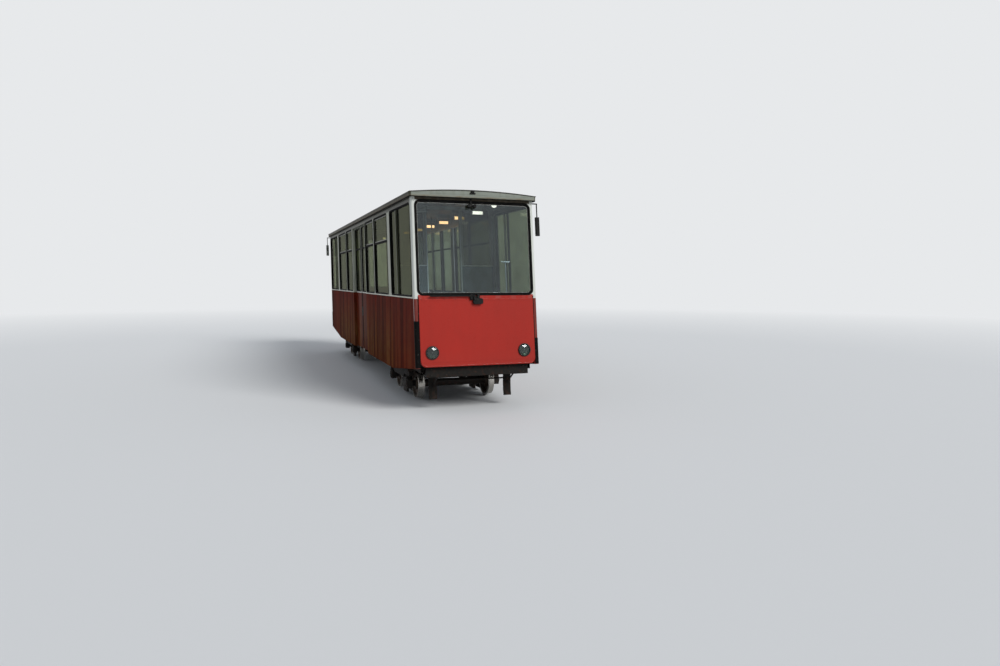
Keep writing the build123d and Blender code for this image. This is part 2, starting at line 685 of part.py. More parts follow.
# Door tracks: the rail that each pair of leaves hangs from, bracketed to the roof band
TRACK_TOP_Z = BAND_TOP_Z - TRACK_REST
with BuildPart() as door_tracks:
    for side in SIDES:
        with BuildSketch(Plane.YZ.offset(side * (DECK_EDGE_X - TRACK_THICK / 2))):
            Polygon(*outline(-POCKET, POCKET, TRACK_TOP_Z - TRACK_DROP, TRACK_TOP_Z), align=AS_DRAWN)
        extrude(amount=TRACK_THICK / 2, both=True)
        with BuildSketch(Plane.YZ.offset(side * (DECK_EDGE_X + INNER_X) / 2)):
            Polygon(*outline(-POCKET, POCKET, TRACK_TOP_Z - TRACK_THICK, TRACK_TOP_Z), align=AS_DRAWN)
        extrude(amount=(INNER_X - DECK_EDGE_X) / 2, both=True)
door_tracks.part.label = "door_tracks"
export_step(door_tracks.part, "parts/door_tracks.step")

# Door leaves, sliding along the inside of the wall: name, side, end
LEAVES = [
    ("left_lower", -1, -1),
    ("left_upper", -1, 1),
    ("right_lower", 1, -1),
    ("right_upper", 1, 1),
]
LEAF_TOP_Z = GLASS_TOP_Z + LEAF_HEAD
LEAF_BACK = DOOR_LEAF + LEAF_LAP
for name, side, end in LEAVES:
    leaf_plane = Plane.YZ.offset(side * LEAF_X)
    light = outline(end * LEAF_STILE, end * (LEAF_BACK - LEAF_STILE), SIDE_SILL_Z, GLASS_TOP_Z - LEAF_HEAD)
    with BuildPart() as door_leaf:
        with BuildSketch(leaf_plane):
            Polygon(
                *outline(end * LEAF_MEET, end * LEAF_BACK, SKIRT_Z + LEAF_FOOT, LEAF_TOP_Z),
                align=AS_DRAWN,
            )
        extrude(amount=LEAF_THICK / 2, both=True)
        with BuildSketch(leaf_plane) as opening:
            Polygon(*light, align=AS_DRAWN)
            fillet(opening.vertices(), WINDOW_RADIUS)
        extrude(amount=LEAF_THICK / 2, both=True, mode=Mode.SUBTRACT)
    door_leaf.part.label = "door_" + name
    export_step(door_leaf.part, "parts/door_" + name + ".step")

    with BuildPart() as door_pane:
        with BuildSketch(leaf_plane) as opening:
            Polygon(*light, align=AS_DRAWN)
            fillet(opening.vertices(), WINDOW_RADIUS)
        extrude(amount=PANE / 2, both=True)
    door_pane.part.label = "door_pane_" + name
    export_step(door_pane.part, "parts/door_pane_" + name + ".step")

# Wipers: a motor box under each windscreen, an arm from its spindle and the parked blade
BLADE_H = up_face(SCREEN_SILL_Z) - BLADE
with BuildPart() as wipers:
    for end in ENDS:
        wiper_plane = end_plane(end, -APRON_PROUD)
        with BuildSketch(wiper_plane):
            RectangleRounded(WIPER_BOX[0], WIPER_BOX[1], WIPER_CORNER, align=HANGING)
        extrude(amount=WIPER_BOX[2])
        # The arm leaves the box at one side and lies just below the glass
        with BuildSketch(wiper_plane.offset(WIPER_BOX[2] / 2)):
            with Locations((-WIPER_BOX[0] / 2 + BLADE, -BLADE)):
                Rectangle(BLADE, BLADE_H + BLADE, align=STANDING)
            with Locations((-WIPER_BOX[0] / 2 + 1.5 * BLADE, BLADE_H)):
                Rectangle(WIPER_REACH, BLADE, align=(Align.MAX, Align.CENTER))
        extrude(amount=WIPER_ARM)
wipers.part.label = "wipers"
export_step(wipers.part, "parts/wipers.step")

# Outside mirrors, on a bent rod from the corner post at the driver's side of each end
MIRROR_Y = CORNER_POST_DEPTH / 2
ROD_Z = (GLASS_TOP_Z + EAVE_Z) / 2
with BuildPart() as outside_mirrors:
    for end in ENDS:
        side = -end
        rod_y = raked(end * (HALF - MIRROR_Y), ROD_Z)[0]
        head_y = raked(end * (HALF - MIRROR_Y), MIRROR_BOTTOM_Z)[0]
        with BuildSketch(Plane.YZ.offset(side * SIDE_X)):
            with Locations((rod_y, ROD_Z)):
                Circle(MIRROR_ROD)
        extrude(amount=side * (MIRROR_OUT + MIRROR_ROD))
        head = (side * MIRROR_X, head_y, MIRROR_BOTTOM_Z)
        with BuildSketch(Plane(origin=head, x_dir=(1, 0, 0), z_dir=UPRIGHT)):
            RectangleRounded(MIRROR_SIZE[0], MIRROR_SIZE[1], MIRROR_CORNER)
        extrude(amount=MIRROR_SIZE[2])
        with BuildSketch(Plane(origin=(side * MIRROR_X, rod_y, ROD_Z), x_dir=(1, 0, 0), z_dir=UPRIGHT)):
            Circle(MIRROR_ROD)
        extrude(amount=-(ROD_Z - MIRROR_BOTTOM_Z) / UPRIGHT[2])
outside_mirrors.part.label = "outside_mirrors"
export_step(outside_mirrors.part, "parts/outside_mirrors.step")

# Brake power pack, one closed box hung from the bearers between the bogies
with BuildPart() as brake_power_pack:
    with BuildSketch(Plane.XY.offset(BEARER_BOTTOM_Z)):
        RectangleRounded(PACK_SIZE[0], PACK_SIZE[1], PACK_CORNER)
    extrude(amount=-PACK_SIZE[2])
    chamfer(brake_power_pack.edges().group_by(Axis.Z)[0], PACK_CORNER / 2)
brake_power_pack.part.label = "brake_power_pack"
export_step(brake_power_pack.part, "parts/brake_power_pack.step")

# Rope anchor at the upper end: two lugs under a plate below the headstock, with a cross bore
ANCHOR_Y = raked(FRAME_END + HEADSTOCK_DEPTH, HEADSTOCK_BOTTOM_Z)[0] - LUG_RADIUS - ANCHOR_INSET
with BuildPart() as rope_anchor:
    with BuildSketch(Plane.XY.offset(HEADSTOCK_BOTTOM_Z)):
        with Locations((0, ANCHOR_Y)):
            Rectangle(LUG_GAP + 4 * LUG_THICK, 2 * LUG_RADIUS)
    extrude(amount=-LUG_THICK)
    for side in SIDES:
        with BuildSketch(Plane.YZ.offset(side * (LUG_GAP + LUG_THICK) / 2)):
            with Locations((ANCHOR_Y, ANCHOR_Z)):
                Circle(LUG_RADIUS)
                Rectangle(2 * LUG_RADIUS, HEADSTOCK_BOTTOM_Z - ANCHOR_Z, align=STANDING)
                Circle(ANCHOR_BORE, mode=Mode.SUBTRACT)
        extrude(amount=LUG_THICK / 2, both=True)
rope_anchor.part.label = "rope_anchor"
export_step(rope_anchor.part, "parts/rope_anchor.step")

# Bogies: frame, axleboxes and rail brakes of each
BEAM_BOTTOM_Z = BEAM_TOP_Z - BEAM_DEPTH
BELLY_Z = BEAM_TOP_Z - BELLY_DEPTH
BELLY_LONG = WHEELBASE / 2 - BELLY_INSET
BELLY_SHORT = BELLY_LONG - BOX_HALF
JOURNAL_REACH = BEAM_X + BEAM_WIDTH / 2 - BOX_COVER
for name, centre in BOGIES:
    with BuildPart() as bogie_frame:
        # Side beams, deeper between the axles
        for side in SIDES:
            with BuildSketch(Plane.YZ.offset(side * BEAM_X)):
                with Locations((centre, 0)):
                    Polygon(
                        (-BEAM_END, BEAM_BOTTOM_Z),
                        (-BELLY_LONG, BEAM_BOTTOM_Z),
                        (-BELLY_SHORT, BELLY_Z),
                        (BELLY_SHORT, BELLY_Z),
                        (BELLY_LONG, BEAM_BOTTOM_Z),
                        (BEAM_END, BEAM_BOTTOM_Z),
                        (BEAM_END, BEAM_TOP_Z - BEAM_NOSE),
                        (BEAM_END - BEAM_NOSE, BEAM_TOP_Z),
                        (-BEAM_END + BEAM_NOSE, BEAM_TOP_Z),
                        (-BEAM_END, BEAM_TOP_Z - BEAM_NOSE),
                        align=AS_DRAWN,
                    )
            extrude(amount=BEAM_WIDTH / 2, both=True)
        # Spring pots between the beams and the axleboxes
        with BuildSketch(Plane.XY.offset(BEAM_BOTTOM_Z)):
            with Locations((0, centre)):
                with GridLocations(2 * BEAM_X, WHEELBASE, 2, 2):
                    Circle(POT_RADIUS)
        extrude(amount=WHEEL_RADIUS + BOX_HALF - BEAM_BOTTOM_Z)
        # Transom and centre bowl
        with BuildSketch(Plane.XY.offset(BELLY_Z)):
            with Locations((0, centre)):
                Rectangle(2 * BEAM_X, TRANSOM_LENGTH)
        extrude(amount=BEAM_TOP_Z - BELLY_Z)
        with BuildSketch(Plane.XY.offset(BEAM_TOP_Z)):
            with Locations((0, centre)):
                Circle(BOWL_RADIUS)
        extrude(amount=BOWL_TOP_Z - BEAM_TOP_Z)
        with BuildSketch(Plane.XY.offset(BOWL_TOP_Z)):
            with Locations((0, centre)):
                Circle(PIVOT_RADIUS + PIVOT_GAP)
        extrude(amount=-PIVOT_DEPTH, mode=Mode.SUBTRACT)
    bogie_frame.part.label = "bogie_frame_" + name
    export_step(bogie_frame.part, "parts/bogie_frame_" + name + ".step")

    with BuildPart() as axleboxes:
        for axle in (-WHEELBASE / 2, WHEELBASE / 2):
            for side in SIDES:
                with BuildSketch(Plane.YZ.offset(side * BEAM_X)):
                    with Locations((centre + axle, WHEEL_RADIUS)):
                        RectangleRounded(2 * BOX_HALF, 2 * BOX_HALF, BOX_CORNER)
                extrude(amount=BEAM_WIDTH / 2, both=True)
                with BuildSketch(Plane.YZ.offset(side * (BEAM_X + BEAM_WIDTH / 2))):
                    with Locations((centre + axle, WHEEL_RADIUS)):
                        Circle(BOX_HALF - BOX_COVER)
                extrude(amount=side * BOX_COVER)
                with BuildSketch(Plane.YZ.offset(side * (BEAM_X - BEAM_WIDTH / 2))):
                    with Locations((centre + axle, WHEEL_RADIUS)):
                        Circle(JOURNAL_RADIUS + JOURNAL_GAP)
                extrude(amount=side * (BEAM_WIDTH - BOX_COVER / 2), mode=Mode.SUBTRACT)
    axleboxes.part.label = "axleboxes_" + name
    export_step(axleboxes.part, "parts/axleboxes_" + name + ".step")

    # Rail brakes: a calliper over each rail, hung from the bogie's transom
    with BuildPart() as rail_brakes:
        for side in SIDES:
            with BuildSketch(Plane.XZ.offset(-centre)):
                with Locations((side * RAIL_X, BELLY_Z)):
                    Rectangle(CALLIPER_WIDTH, CALLIPER_HEAD, align=HANGING)
                for jaw in SIDES:
                    with Locations((side * RAIL_X + jaw * (CALLIPER_WIDTH - JAW) / 2, JAW_CLEAR)):
                        Rectangle(JAW, BELLY_Z - CALLIPER_HEAD - JAW_CLEAR, align=STANDING)
            extrude(amount=TRANSOM_LENGTH / 2, both=True)
    rail_brakes.part.label = "rail_brakes_" + name
    export_step(rail_brakes.part, "parts/rail_brakes_" + name + ".step")

# Wheelsets: name, place of the axle along the track
WHEELSETS = [
    ("1", -BOGIE_CENTRES / 2 - WHEELBASE / 2),
    ("2", -BOGIE_CENTRES / 2 + WHEELBASE / 2),
    ("3", BOGIE_CENTRES / 2 - WHEELBASE / 2),
    ("4", BOGIE_CENTRES / 2 + WHEELBASE / 2),
]
BACK_X = BACK_TO_BACK / 2
FACE_X = BACK_X + WHEEL_WIDTH
WEB_X = BACK_X + WHEEL_WIDTH * 0.4
for name, y in WHEELSETS:
    spin = Plane(origin=(0, y, WHEEL_RADIUS), x_dir=(1, 0, 0), z_dir=(0, -1, 0))
    turning = Axis((0, y, WHEEL_RADIUS), (1, 0, 0))
    with BuildPart() as axle:
        with BuildSketch(spin):
            Polygon(
                (0, 0),
                (JOURNAL_REACH, 0),
                (JOURNAL_REACH, JOURNAL_RADIUS),
                (FACE_X + WHEEL_FILLET, JOURNAL_RADIUS),
                (FACE_X, SEAT_RADIUS),
                (BACK_X, SEAT_RADIUS),
                (BACK_X - WHEEL_FILLET, AXLE_RADIUS),
                (0, AXLE_RADIUS),
                align=AS_DRAWN,
            )
        revolve(axis=turning)
        mirror(about=Plane.YZ)
    axle.part.label = "axle_" + name
    export_step(axle.part, "parts/axle_" + name + ".step")

    # Disc wheels: hub, dished web, rim, coned tread and flange
    with BuildPart() as wheels:
        with BuildSketch(spin):
            Polygon(
                (BACK_X, SEAT_RADIUS),
                (BACK_X, HUB_RADIUS),
                (WEB_X - WHEEL_WEB / 2, HUB_RADIUS + WHEEL_FILLET),
                (WEB_X + WHEEL_WEB / 2, WHEEL_RADIUS - RIM - WHEEL_FILLET),
                (BACK_X, WHEEL_RADIUS - RIM),
                (BACK_X, WHEEL_RADIUS + FLANGE_HEIGHT - FLANGE_THICK / 4),
                (BACK_X + FLANGE_THICK / 4, WHEEL_RADIUS + FLANGE_HEIGHT),
                (BACK_X + FLANGE_THICK / 2, WHEEL_RADIUS + FLANGE_HEIGHT),
                (BACK_X + FLANGE_THICK, WHEEL_RADIUS + FLANGE_HEIGHT / 8),
                (BACK_X + FLANGE_THICK * 1.25, WHEEL_RADIUS),
                (FACE_X - FLANGE_THICK / 5, WHEEL_RADIUS - FLANGE_HEIGHT / 7),
                (FACE_X, WHEEL_RADIUS - FLANGE_HEIGHT / 3),
                (FACE_X, WHEEL_RADIUS - RIM),
                (WEB_X + 1.5 * WHEEL_WEB, WHEEL_RADIUS - RIM - WHEEL_FILLET),
                (WEB_X + WHEEL_WEB / 2, HUB_RADIUS + WHEEL_FILLET),
                (FACE_X, HUB_RADIUS),
                (FACE_X, SEAT_RADIUS),
                align=AS_DRAWN,
            )
        revolve(axis=turning)
        mirror(about=Plane.YZ)
    wheels.part.label = "wheels_" + name
    export_step(wheels.part, "parts/wheels_" + name + ".step")
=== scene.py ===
import math

import bmesh
import bpy
from mathutils import Matrix, Vector


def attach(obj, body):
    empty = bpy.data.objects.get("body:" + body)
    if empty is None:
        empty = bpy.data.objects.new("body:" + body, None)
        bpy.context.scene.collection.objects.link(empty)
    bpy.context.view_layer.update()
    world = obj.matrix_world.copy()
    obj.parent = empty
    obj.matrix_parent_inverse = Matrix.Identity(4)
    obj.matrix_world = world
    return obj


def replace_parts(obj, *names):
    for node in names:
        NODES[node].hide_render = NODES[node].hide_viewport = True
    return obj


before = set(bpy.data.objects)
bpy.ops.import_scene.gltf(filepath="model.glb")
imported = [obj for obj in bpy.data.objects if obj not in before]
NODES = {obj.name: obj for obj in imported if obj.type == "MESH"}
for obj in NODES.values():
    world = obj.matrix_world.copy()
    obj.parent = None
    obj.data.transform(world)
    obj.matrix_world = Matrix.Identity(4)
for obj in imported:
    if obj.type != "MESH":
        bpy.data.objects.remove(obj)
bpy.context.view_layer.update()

# Sizes in metres, as in the CAD source. A station is a distance along the car at skirt level.
RAKE = math.radians(7.0)
SLOPE = math.tan(RAKE)
COS_RAKE, SIN_RAKE = math.cos(RAKE), math.sin(RAKE)
LEVEL = SIN_RAKE * COS_RAKE   # fall of a level deck for each metre of station
SKIRT = 0.59
HALF = 6.36            # station of an end face
WALL_END = 6.28        # station where a side wall ends
CAB_DECK = 4.17        # station where a cab's deck begins
CAB_FLOOR = 1.1        # height of that deck at its middle
DESK_GAP = 0.012
DOOR_BAY = 2.36        # station where the bay beside the doorway ends
DOOR_LEAF = 1.06       # station where a closed leaf ends
SIDE_X = 1.2
BELT = 2.08
SILL = 2.115
GLASS_TOP = 3.85
LIGHT_CORNER = 0.07
EAVE = 3.95
BAND_TOP = 4.02
ROOF_X = 1.245
BAND_END = 0.09
PANE_OUT = -0.026      # a side pane's faces and the wall's inner face, outward from the wall
PANE_IN = -0.034
WALL_IN = -0.06
WINDOWS = [(1.15, 2.29), (2.43, 4.01), (4.33, 6.22)]
TRANSOM_Z = 3.26
TRANSOM = (TRANSOM_Z - 0.02, TRANSOM_Z + 0.02)
SCREEN_X = 1.128
SCREEN_SILL, SCREEN_TOP = 2.15, 3.885
LEAF_X = 1.112         # middle of a door leaf
LAMP_X, LAMP_Z = 0.9, 1.1
BOGIE_Y = 3.75
AXLE_OUT = 0.8
WHEEL_R = 0.3
BEAM_X = 0.94
FLOOR_LOW = -0.0285    # just under the wheels' flanges
ENDS = (-1, 1)
SIDES = (-1, 1)


def y_at(station, z):
    return station + (z - SKIRT) * SLOPE


def side_map(side, x=SIDE_X):
    """(station, z, outward) on a side wall."""
    return lambda a, b, h: Vector((side * (x + h), y_at(a, b), b))


def end_map(end, half=HALF):
    """(x, z, outward) on an end face."""
    return lambda a, b, h: Vector((a, y_at(end * half, b) + end * COS_RAKE * h, b - end * SIN_RAKE * h))


def cab_map(end):
    """(x, inward, up) from the foot of a cab's desk, level on the slope."""
    station = end * (WALL_END - DESK_GAP)
    z = CAB_FLOOR - (station - end * (WALL_END + CAB_DECK) / 2) * LEVEL
    y = y_at(station, z)
    return lambda a, b, h: Vector((a, y - end * COS_RAKE * b + SIN_RAKE * h, z + end * SIN_RAKE * b + COS_RAKE * h))


def xy_map(y0, z0):
    """(x, y from y0, z from z0)."""
    return lambda a, b, h: Vector((a, y0 + b, z0 + h))


# Outlines and sections

SMALLEST_CORNER, SMALLEST_RADIUS = 0.0005, 0.0003
SHARP_FROM = math.radians(40)


def rounded(corners, radius, grow=0.0, steps=6):
    """Outline of a convex polygon with rounded corners, grown outward."""
    area = sum(p[0] * q[1] - q[0] * p[1] for p, q in zip(corners, corners[1:] + corners[:1]))
    turn = 1 if area > 0 else -1
    points = []
    for i, p in enumerate(corners):
        p = Vector(p)
        d0 = (p - Vector(corners[i - 1])).normalized()
        d1 = (Vector(corners[(i + 1) % len(corners)]) - p).normalized()
        n0 = Vector((d0.y, -d0.x)) * turn
        n1 = Vector((d1.y, -d1.x)) * turn
        q = p + (n0 + n1) / (1 + n0.dot(n1)) * grow
        r = max(radius + grow, SMALLEST_CORNER)
        half = math.acos(max(-1.0, min(1.0, d0.dot(d1)))) / 2
        centre = q - d0 * r * math.tan(half) - n0 * r
        a0 = math.atan2(n0.y, n0.x)
        swing = (math.atan2(n1.y, n1.x) - a0 + math.pi) % (2 * math.pi) - math.pi
        for step in range(steps + 1):
            a = a0 + swing * step / steps
            points.append((centre.x + r * math.cos(a), centre.y + r * math.sin(a)))
    return points


def rectangle(a0, a1, b0, b1):
    return [(a0, b0), (a1, b0), (a1, b1), (a0, b1)]


def span(way, near, far):
    """Two distances from the middle, taken to the side way, in rising order."""
    return sorted((way * near, way * far))


def circle(radius, count=12):
    return [(radius * math.cos(2 * math.pi * i / count), radius * math.sin(2 * math.pi * i / count))
            for i in range(count)]


def flat(width, height, edge=0.002):
    return rounded(rectangle(-width / 2, width / 2, -height / 2, height / 2), edge, 0, 2)


def add(name, data):
    """A new object of the scene."""
    made = bpy.data.objects.new(name, data)
    bpy.context.scene.collection.objects.link(made)
    return made


class Shape:
    """Collects closed surfaces into one piece."""

    def __init__(self):
        self.bm = bmesh.new()

    def loops(self, loops, wrap=False):
        """Skins loops of points one to the next; the ends are capped, or joined if it wraps."""
        rows = [[self.bm.verts.new(p) for p in loop] for loop in loops]
        pairs = list(zip(rows, rows[1:])) + ([(rows[-1], rows[0])] if wrap else [])
        for a, b in pairs:
            n = len(a)
            for i in range(n):
                self.bm.faces.new((a[i], a[(i + 1) % n], b[(i + 1) % n], b[i]))
        if not wrap:
            self.bm.faces.new(rows[0][::-1])
            self.bm.faces.new(rows[-1])

    def ring(self, corners, radius, profile, place, steps=6):
        """A closed section of (grow, height) points swept round a rounded outline."""
        self.loops([[place(a, b, h) for a, b in rounded(corners, radius, g, steps)] for g, h in profile], wrap=True)

    def plate(self, corners, radius, low, high, place, edge=0.002, steps=4):
        """A flat panel with softened outer edges."""
        rows = [(0, low), (0, high - edge), (-edge, high)]
        self.loops([[place(a, b, h) for a, b in rounded(corners, radius, g, steps)] for g, h in rows])

    def block(self, low, high, place, edge=0.006):
        """A softened box between two corners in a map's own directions."""
        (a0, b0, h0), (a1, b1, h1) = low, high
        rows = [(-edge, h0), (0, h0 + edge), (0, h1 - edge), (-edge, h1)]
        self.loops([[place(a, b, h) for a, b in rounded(rectangle(a0, a1, b0, b1), edge, g, 3)] for g, h in rows])

    def lathe(self, profile, place, a, b, count=24):
        """A surface of revolution of (radius, height) points about the outward direction at (a, b)."""
        self.loops([[place(a + u, b + v, h) for u, v in circle(max(r, SMALLEST_RADIUS), count)] for r, h in profile])

    def sweep(self, path, section, up=(0, 0, 1)):
        """A section of (across, up) points swept along a path."""
        path = [Vector(p) for p in path]
        loops = []
        for i, p in enumerate(path):
            along = (path[min(i + 1, len(path) - 1)] - path[max(i - 1, 0)]).normalized()
            across = along.cross(Vector(up)).normalized()
            over = across.cross(along)
            loops.append([p + across * u + over * v for u, v in section])
        self.loops(loops)

    def done(self, name, slot, material, body="car_body"):
        """Makes the piece of the surfaces so far, riding on a body."""
        bmesh.ops.recalc_face_normals(self.bm, faces=self.bm.faces)
        mesh = bpy.data.meshes.new(name)
        self.bm.to_mesh(mesh)
        self.bm.free()
        piece = add(name, mesh)
        mesh.materials.append(material)
        mesh.shade_smooth()
        mesh.set_sharp_from_angle(angle=SHARP_FROM)
        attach(piece, body)
        return piece


def shapes(count):
    return [Shape() for _ in range(count)]


# Materials

def srgb(text):
    rgb = [int(text[i:i + 2], 16) / 255 for i in (0, 2, 4)]
    return tuple(c / 12.92 if c <= 0.04045 else ((c + 0.055) / 1.055) ** 2.4 for c in rgb) + (1.0,)


class Look:
    """A procedural material on object coordinates."""

    def __init__(self, name):
        self.material = bpy.data.materials.new(name)
        self.material.use_nodes = True
        self.tree = self.material.node_tree
        self.tree.nodes.clear()
        self.out = self.tree.nodes.new("ShaderNodeOutputMaterial")
        self.place = self.node("ShaderNodeTexCoord").outputs["Object"]
        self.x, self.y, self.z = self.node("ShaderNodeSeparateXYZ", {0: self.place}).outputs

    def node(self, kind, inputs=None, **settings):
        made = self.tree.nodes.new(kind)
        for key, value in settings.items():
            setattr(made, key, value)
        for key, value in (inputs or {}).items():
            if isinstance(value, bpy.types.NodeSocket):
                self.tree.links.new(value, made.inputs[key])
            else:
                made.inputs[key].default_value = value
        return made

    def noise(self, scale, detail=3.0, stretch=(1, 1, 1), rough=0.55):
        place = self.node("ShaderNodeMapping", {0: self.place, "Scale": stretch}).outputs[0]
        settings = {"Vector": place, "Scale": scale, "Detail": detail, "Roughness": rough}
        return self.node("ShaderNodeTexNoise", settings).outputs["Fac"]

    def ramp(self, value, low, high, out_low=0.0, out_high=1.0):
        return self.node("ShaderNodeMapRange", {0: value, 1: low, 2: high, 3: out_low, 4: out_high}).outputs[0]

    def spread(self, noise, low, high):
        """A noise's middle range as values from low to high."""
        return self.ramp(noise, 0.3, 0.7, low, high)

    def math(self, operation, a, b=0.0):
        return self.node("ShaderNodeMath", {0: a, 1: b}, operation=operation).outputs[0]

    def product(self, first, *others):
        for other in others:
            first = self.math("MULTIPLY", first, other)
        return first

    def mix(self, factor, a, b):
        return self.node("ShaderNodeMix", {0: factor, 6: a, 7: b}, data_type="RGBA").outputs[2]

    def shader(self, colour, roughness, bump=None, bump_strength=0.2, bump_distance=0.002, **more):
        inputs = {"Base Color": colour, "Roughness": roughness}
        inputs.update({key.replace("_", " "): value for key, value in more.items()})
        if bump is not None:
            relief = {"Strength": bump_strength, "Distance": bump_distance, "Height": bump}
            inputs["Normal"] = self.node("ShaderNodeBump", relief).outputs[0]
        return self.node("ShaderNodeBsdfPrincipled", inputs).outputs[0]

    def finish(self, surface):
        self.tree.links.new(surface, self.out.inputs["Surface"])
        return self.material


# SIDE_DUST_AND_REFLECTION: a lighter brown for the sides low down, partly road dust and partly a painted reflection
# of the ground.
DUST, SIDE_DUST_AND_REFLECTION = srgb("6B5A48"), srgb("785830")
RUST = srgb("5A3423")
SCUFF = srgb("8E8A82")
GRIME = srgb("6A6C60")
SHADE = (0.02, 0.015, 0.012, 1)
EAVES_SHADE = (0.02, 0.018, 0.014, 1)
SEAM_BLACK = (0.02, 0.02, 0.02, 1)
RAIN, DARK_RAIN = (0.03, 0.022, 0.018, 1), (0.012, 0.005, 0.004, 1)
PAINT_EDGE = 0.002


def paint(name, colour, second=None, gloss=0.3, tone=0.10, streaks=0.25, streak_colour=RAIN, bands=9.0,
          dust=0.3, dust_from=1.5, dust_to=0.6, dust_colour=DUST, ends=None, wave=0.35, coat=0.2, level=0.08,
          apron=None, header_shade=None, edge_x=None, eaves_shade=None, under=None, seams=None):
    """Coach paint: uneven tone, rain streaks, road dust low down, faint waves in the sheet.

    second: colour above the belt. apron: (height, half width, colour) under the windscreen. header_shade: (height,
    half width, colour) of painted shade over the windscreen, under the roof band. edge_x: (half width, colour) of
    what
    lies further out. eaves_shade: (from, to, strength) of painted shade under the roof. ends: (from, to) along the
    car where the low dust fades in, and with it the painted reflection that it carries on the sides. under: colour of
    what
    faces down. seams: pitch of the joints between the roof's sheets.
    """
    k = Look(name)
    base = srgb(colour)
    if second:
        base = k.mix(k.ramp(k.z, BELT - 0.0005, BELT + 0.0005), base, srgb(second))
    if apron:
        top, width, tint = apron
        within = k.ramp(k.math("ABSOLUTE", k.x), width + PAINT_EDGE, width)
        base = k.mix(k.product(within, k.ramp(k.z, top + PAINT_EDGE, top)), base, srgb(tint))
    if edge_x:
        width, tint = edge_x
        base = k.mix(k.ramp(k.math("ABSOLUTE", k.x), width - PAINT_EDGE, width + PAINT_EDGE), base, srgb(tint))
    # Painted shade: a dark band over the windscreen, under the roof band's overhang.
    if header_shade:
        foot, width, tint = header_shade
        within = k.ramp(k.math("ABSOLUTE", k.x), width + 2 * PAINT_EDGE, width)
        base = k.mix(k.product(k.ramp(k.z, foot, foot + 2 * PAINT_EDGE), within), base, srgb(tint))
    # Painted shade darkening the top of a surface under the roof's overhang.
    if eaves_shade:
        foot, top, strength = eaves_shade
        base = k.mix(k.ramp(k.z, foot, top, 0, strength), base, EAVES_SHADE)
    if seams:
        beat = k.math("FRACT", k.math("DIVIDE", k.y, seams))
        line = k.ramp(k.math("ABSOLUTE", k.math("SUBTRACT", beat, 0.5)), 0.006, 0.003)
        base = k.mix(k.product(line, 0.7), base, SEAM_BLACK)
    base = k.mix(k.spread(k.noise(0.9, 4), 0, tone), base, SHADE)
    if under:
        normal = k.node("ShaderNodeSeparateXYZ", {0: k.node("ShaderNodeNewGeometry").outputs["Normal"]})
        base = k.mix(k.ramp(normal.outputs[2], -0.7, -0.5, 1, 0), base, srgb(under))
    base = k.mix(k.ramp(k.noise(6, 5), 0.5, 0.8, 0, tone * 0.5), base, dust_colour)
    runs = k.noise(bands, 4, (1, 1, 0.045), 0.6)
    runs_fine = k.noise(34, 3, (1, 1, 0.03), 0.6)
    streak = k.product(k.ramp(runs, 0.44, 0.6), k.ramp(runs_fine, 0.35, 0.65, 0.55, 1.0))
    spray = k.product(k.ramp(k.z, dust_from, dust_to), k.ramp(k.noise(5, 5), 0.32, 0.68, 0.5, 1.0),
                      k.ramp(runs, 0.62, 0.4, 0.3, 1.0))
    if ends:
        spray = k.product(spray, k.ramp(k.math("ABSOLUTE", k.y), *ends, 0.3, 1.0))
    base = k.mix(k.product(spray, dust), base, dust_colour)
    base = k.mix(k.product(streak, streaks), base, streak_colour)
    rough = k.math("ADD", k.spread(k.noise(38, 5), gloss - 0.05, gloss + 0.08), k.product(spray, 0.3))
    peel = k.math("ADD", k.product(k.noise(260, 2), 0.05), k.product(k.noise(1.7, 2), wave))
    return k.finish(k.shader(base, rough, peel, 0.35, 0.004, Specular_IOR_Level=level, Coat_Weight=coat,
                             Coat_Roughness=0.14))


def metal(name, colour, dark, rough, metallic, grain=60, tone=0.4, bump=0.1, rust=0.0, **more):
    """Metal in two tones, with a fine grain and blotches of rust."""
    k = Look(name)
    fine = k.noise(grain, 4)
    base = k.mix(k.ramp(k.noise(7, 5), 0.3, 0.72, 0, tone), srgb(colour), srgb(dark))
    base = k.mix(k.ramp(k.noise(16, 6), 0.52, 0.72, 0, rust), base, RUST)
    return k.finish(k.shader(base, k.spread(fine, rough - 0.1, rough + 0.15), fine, bump, 0.0015,
                             Metallic=metallic, **more))


def plain(name, colour, dark, rough, scale=30, tone=0.4, **more):
    """Rubber, plastic or laminate with a fine moulded grain and scuffs."""
    k = Look(name)
    base = k.mix(k.ramp(k.noise(scale * 0.2, 4), 0.3, 0.75, 0, tone), srgb(colour), srgb(dark))
    base = k.mix(k.ramp(k.noise(scale, 6), 0.6, 0.78, 0, 0.25), base, SCUFF)
    return k.finish(k.shader(base, k.spread(k.noise(scale, 3), rough - 0.08, rough + 0.1),
                             k.noise(scale * 9, 3), 0.15, 0.001, **more))


def glass(name, tint, least, most, smear=0.25, sky=(0.85, 0.9, 0.92, 1)):
    """See-through pane: tinted, with a mirror share that grows towards grazing and faint grime."""
    k = Look(name)
    dirt = k.ramp(k.noise(3, 6, (1, 1, 0.6)), 0.45, 0.8, 0, smear)
    clear = k.node("ShaderNodeBsdfTransparent", {"Color": k.mix(dirt, srgb(tint), GRIME)}).outputs[0]
    blur = k.math("ADD", k.product(dirt, 0.08), 0.02)
    shine = k.node("ShaderNodeBsdfGlossy", {"Color": sky, "Roughness": blur}).outputs[0]
    share = k.ramp(k.node("ShaderNodeFresnel", {"IOR": 1.45}).outputs[0], 0.03, 0.6, least, most)
    return k.finish(k.node("ShaderNodeMixShader", {0: share, 1: clear, 2: shine}).outputs[0])


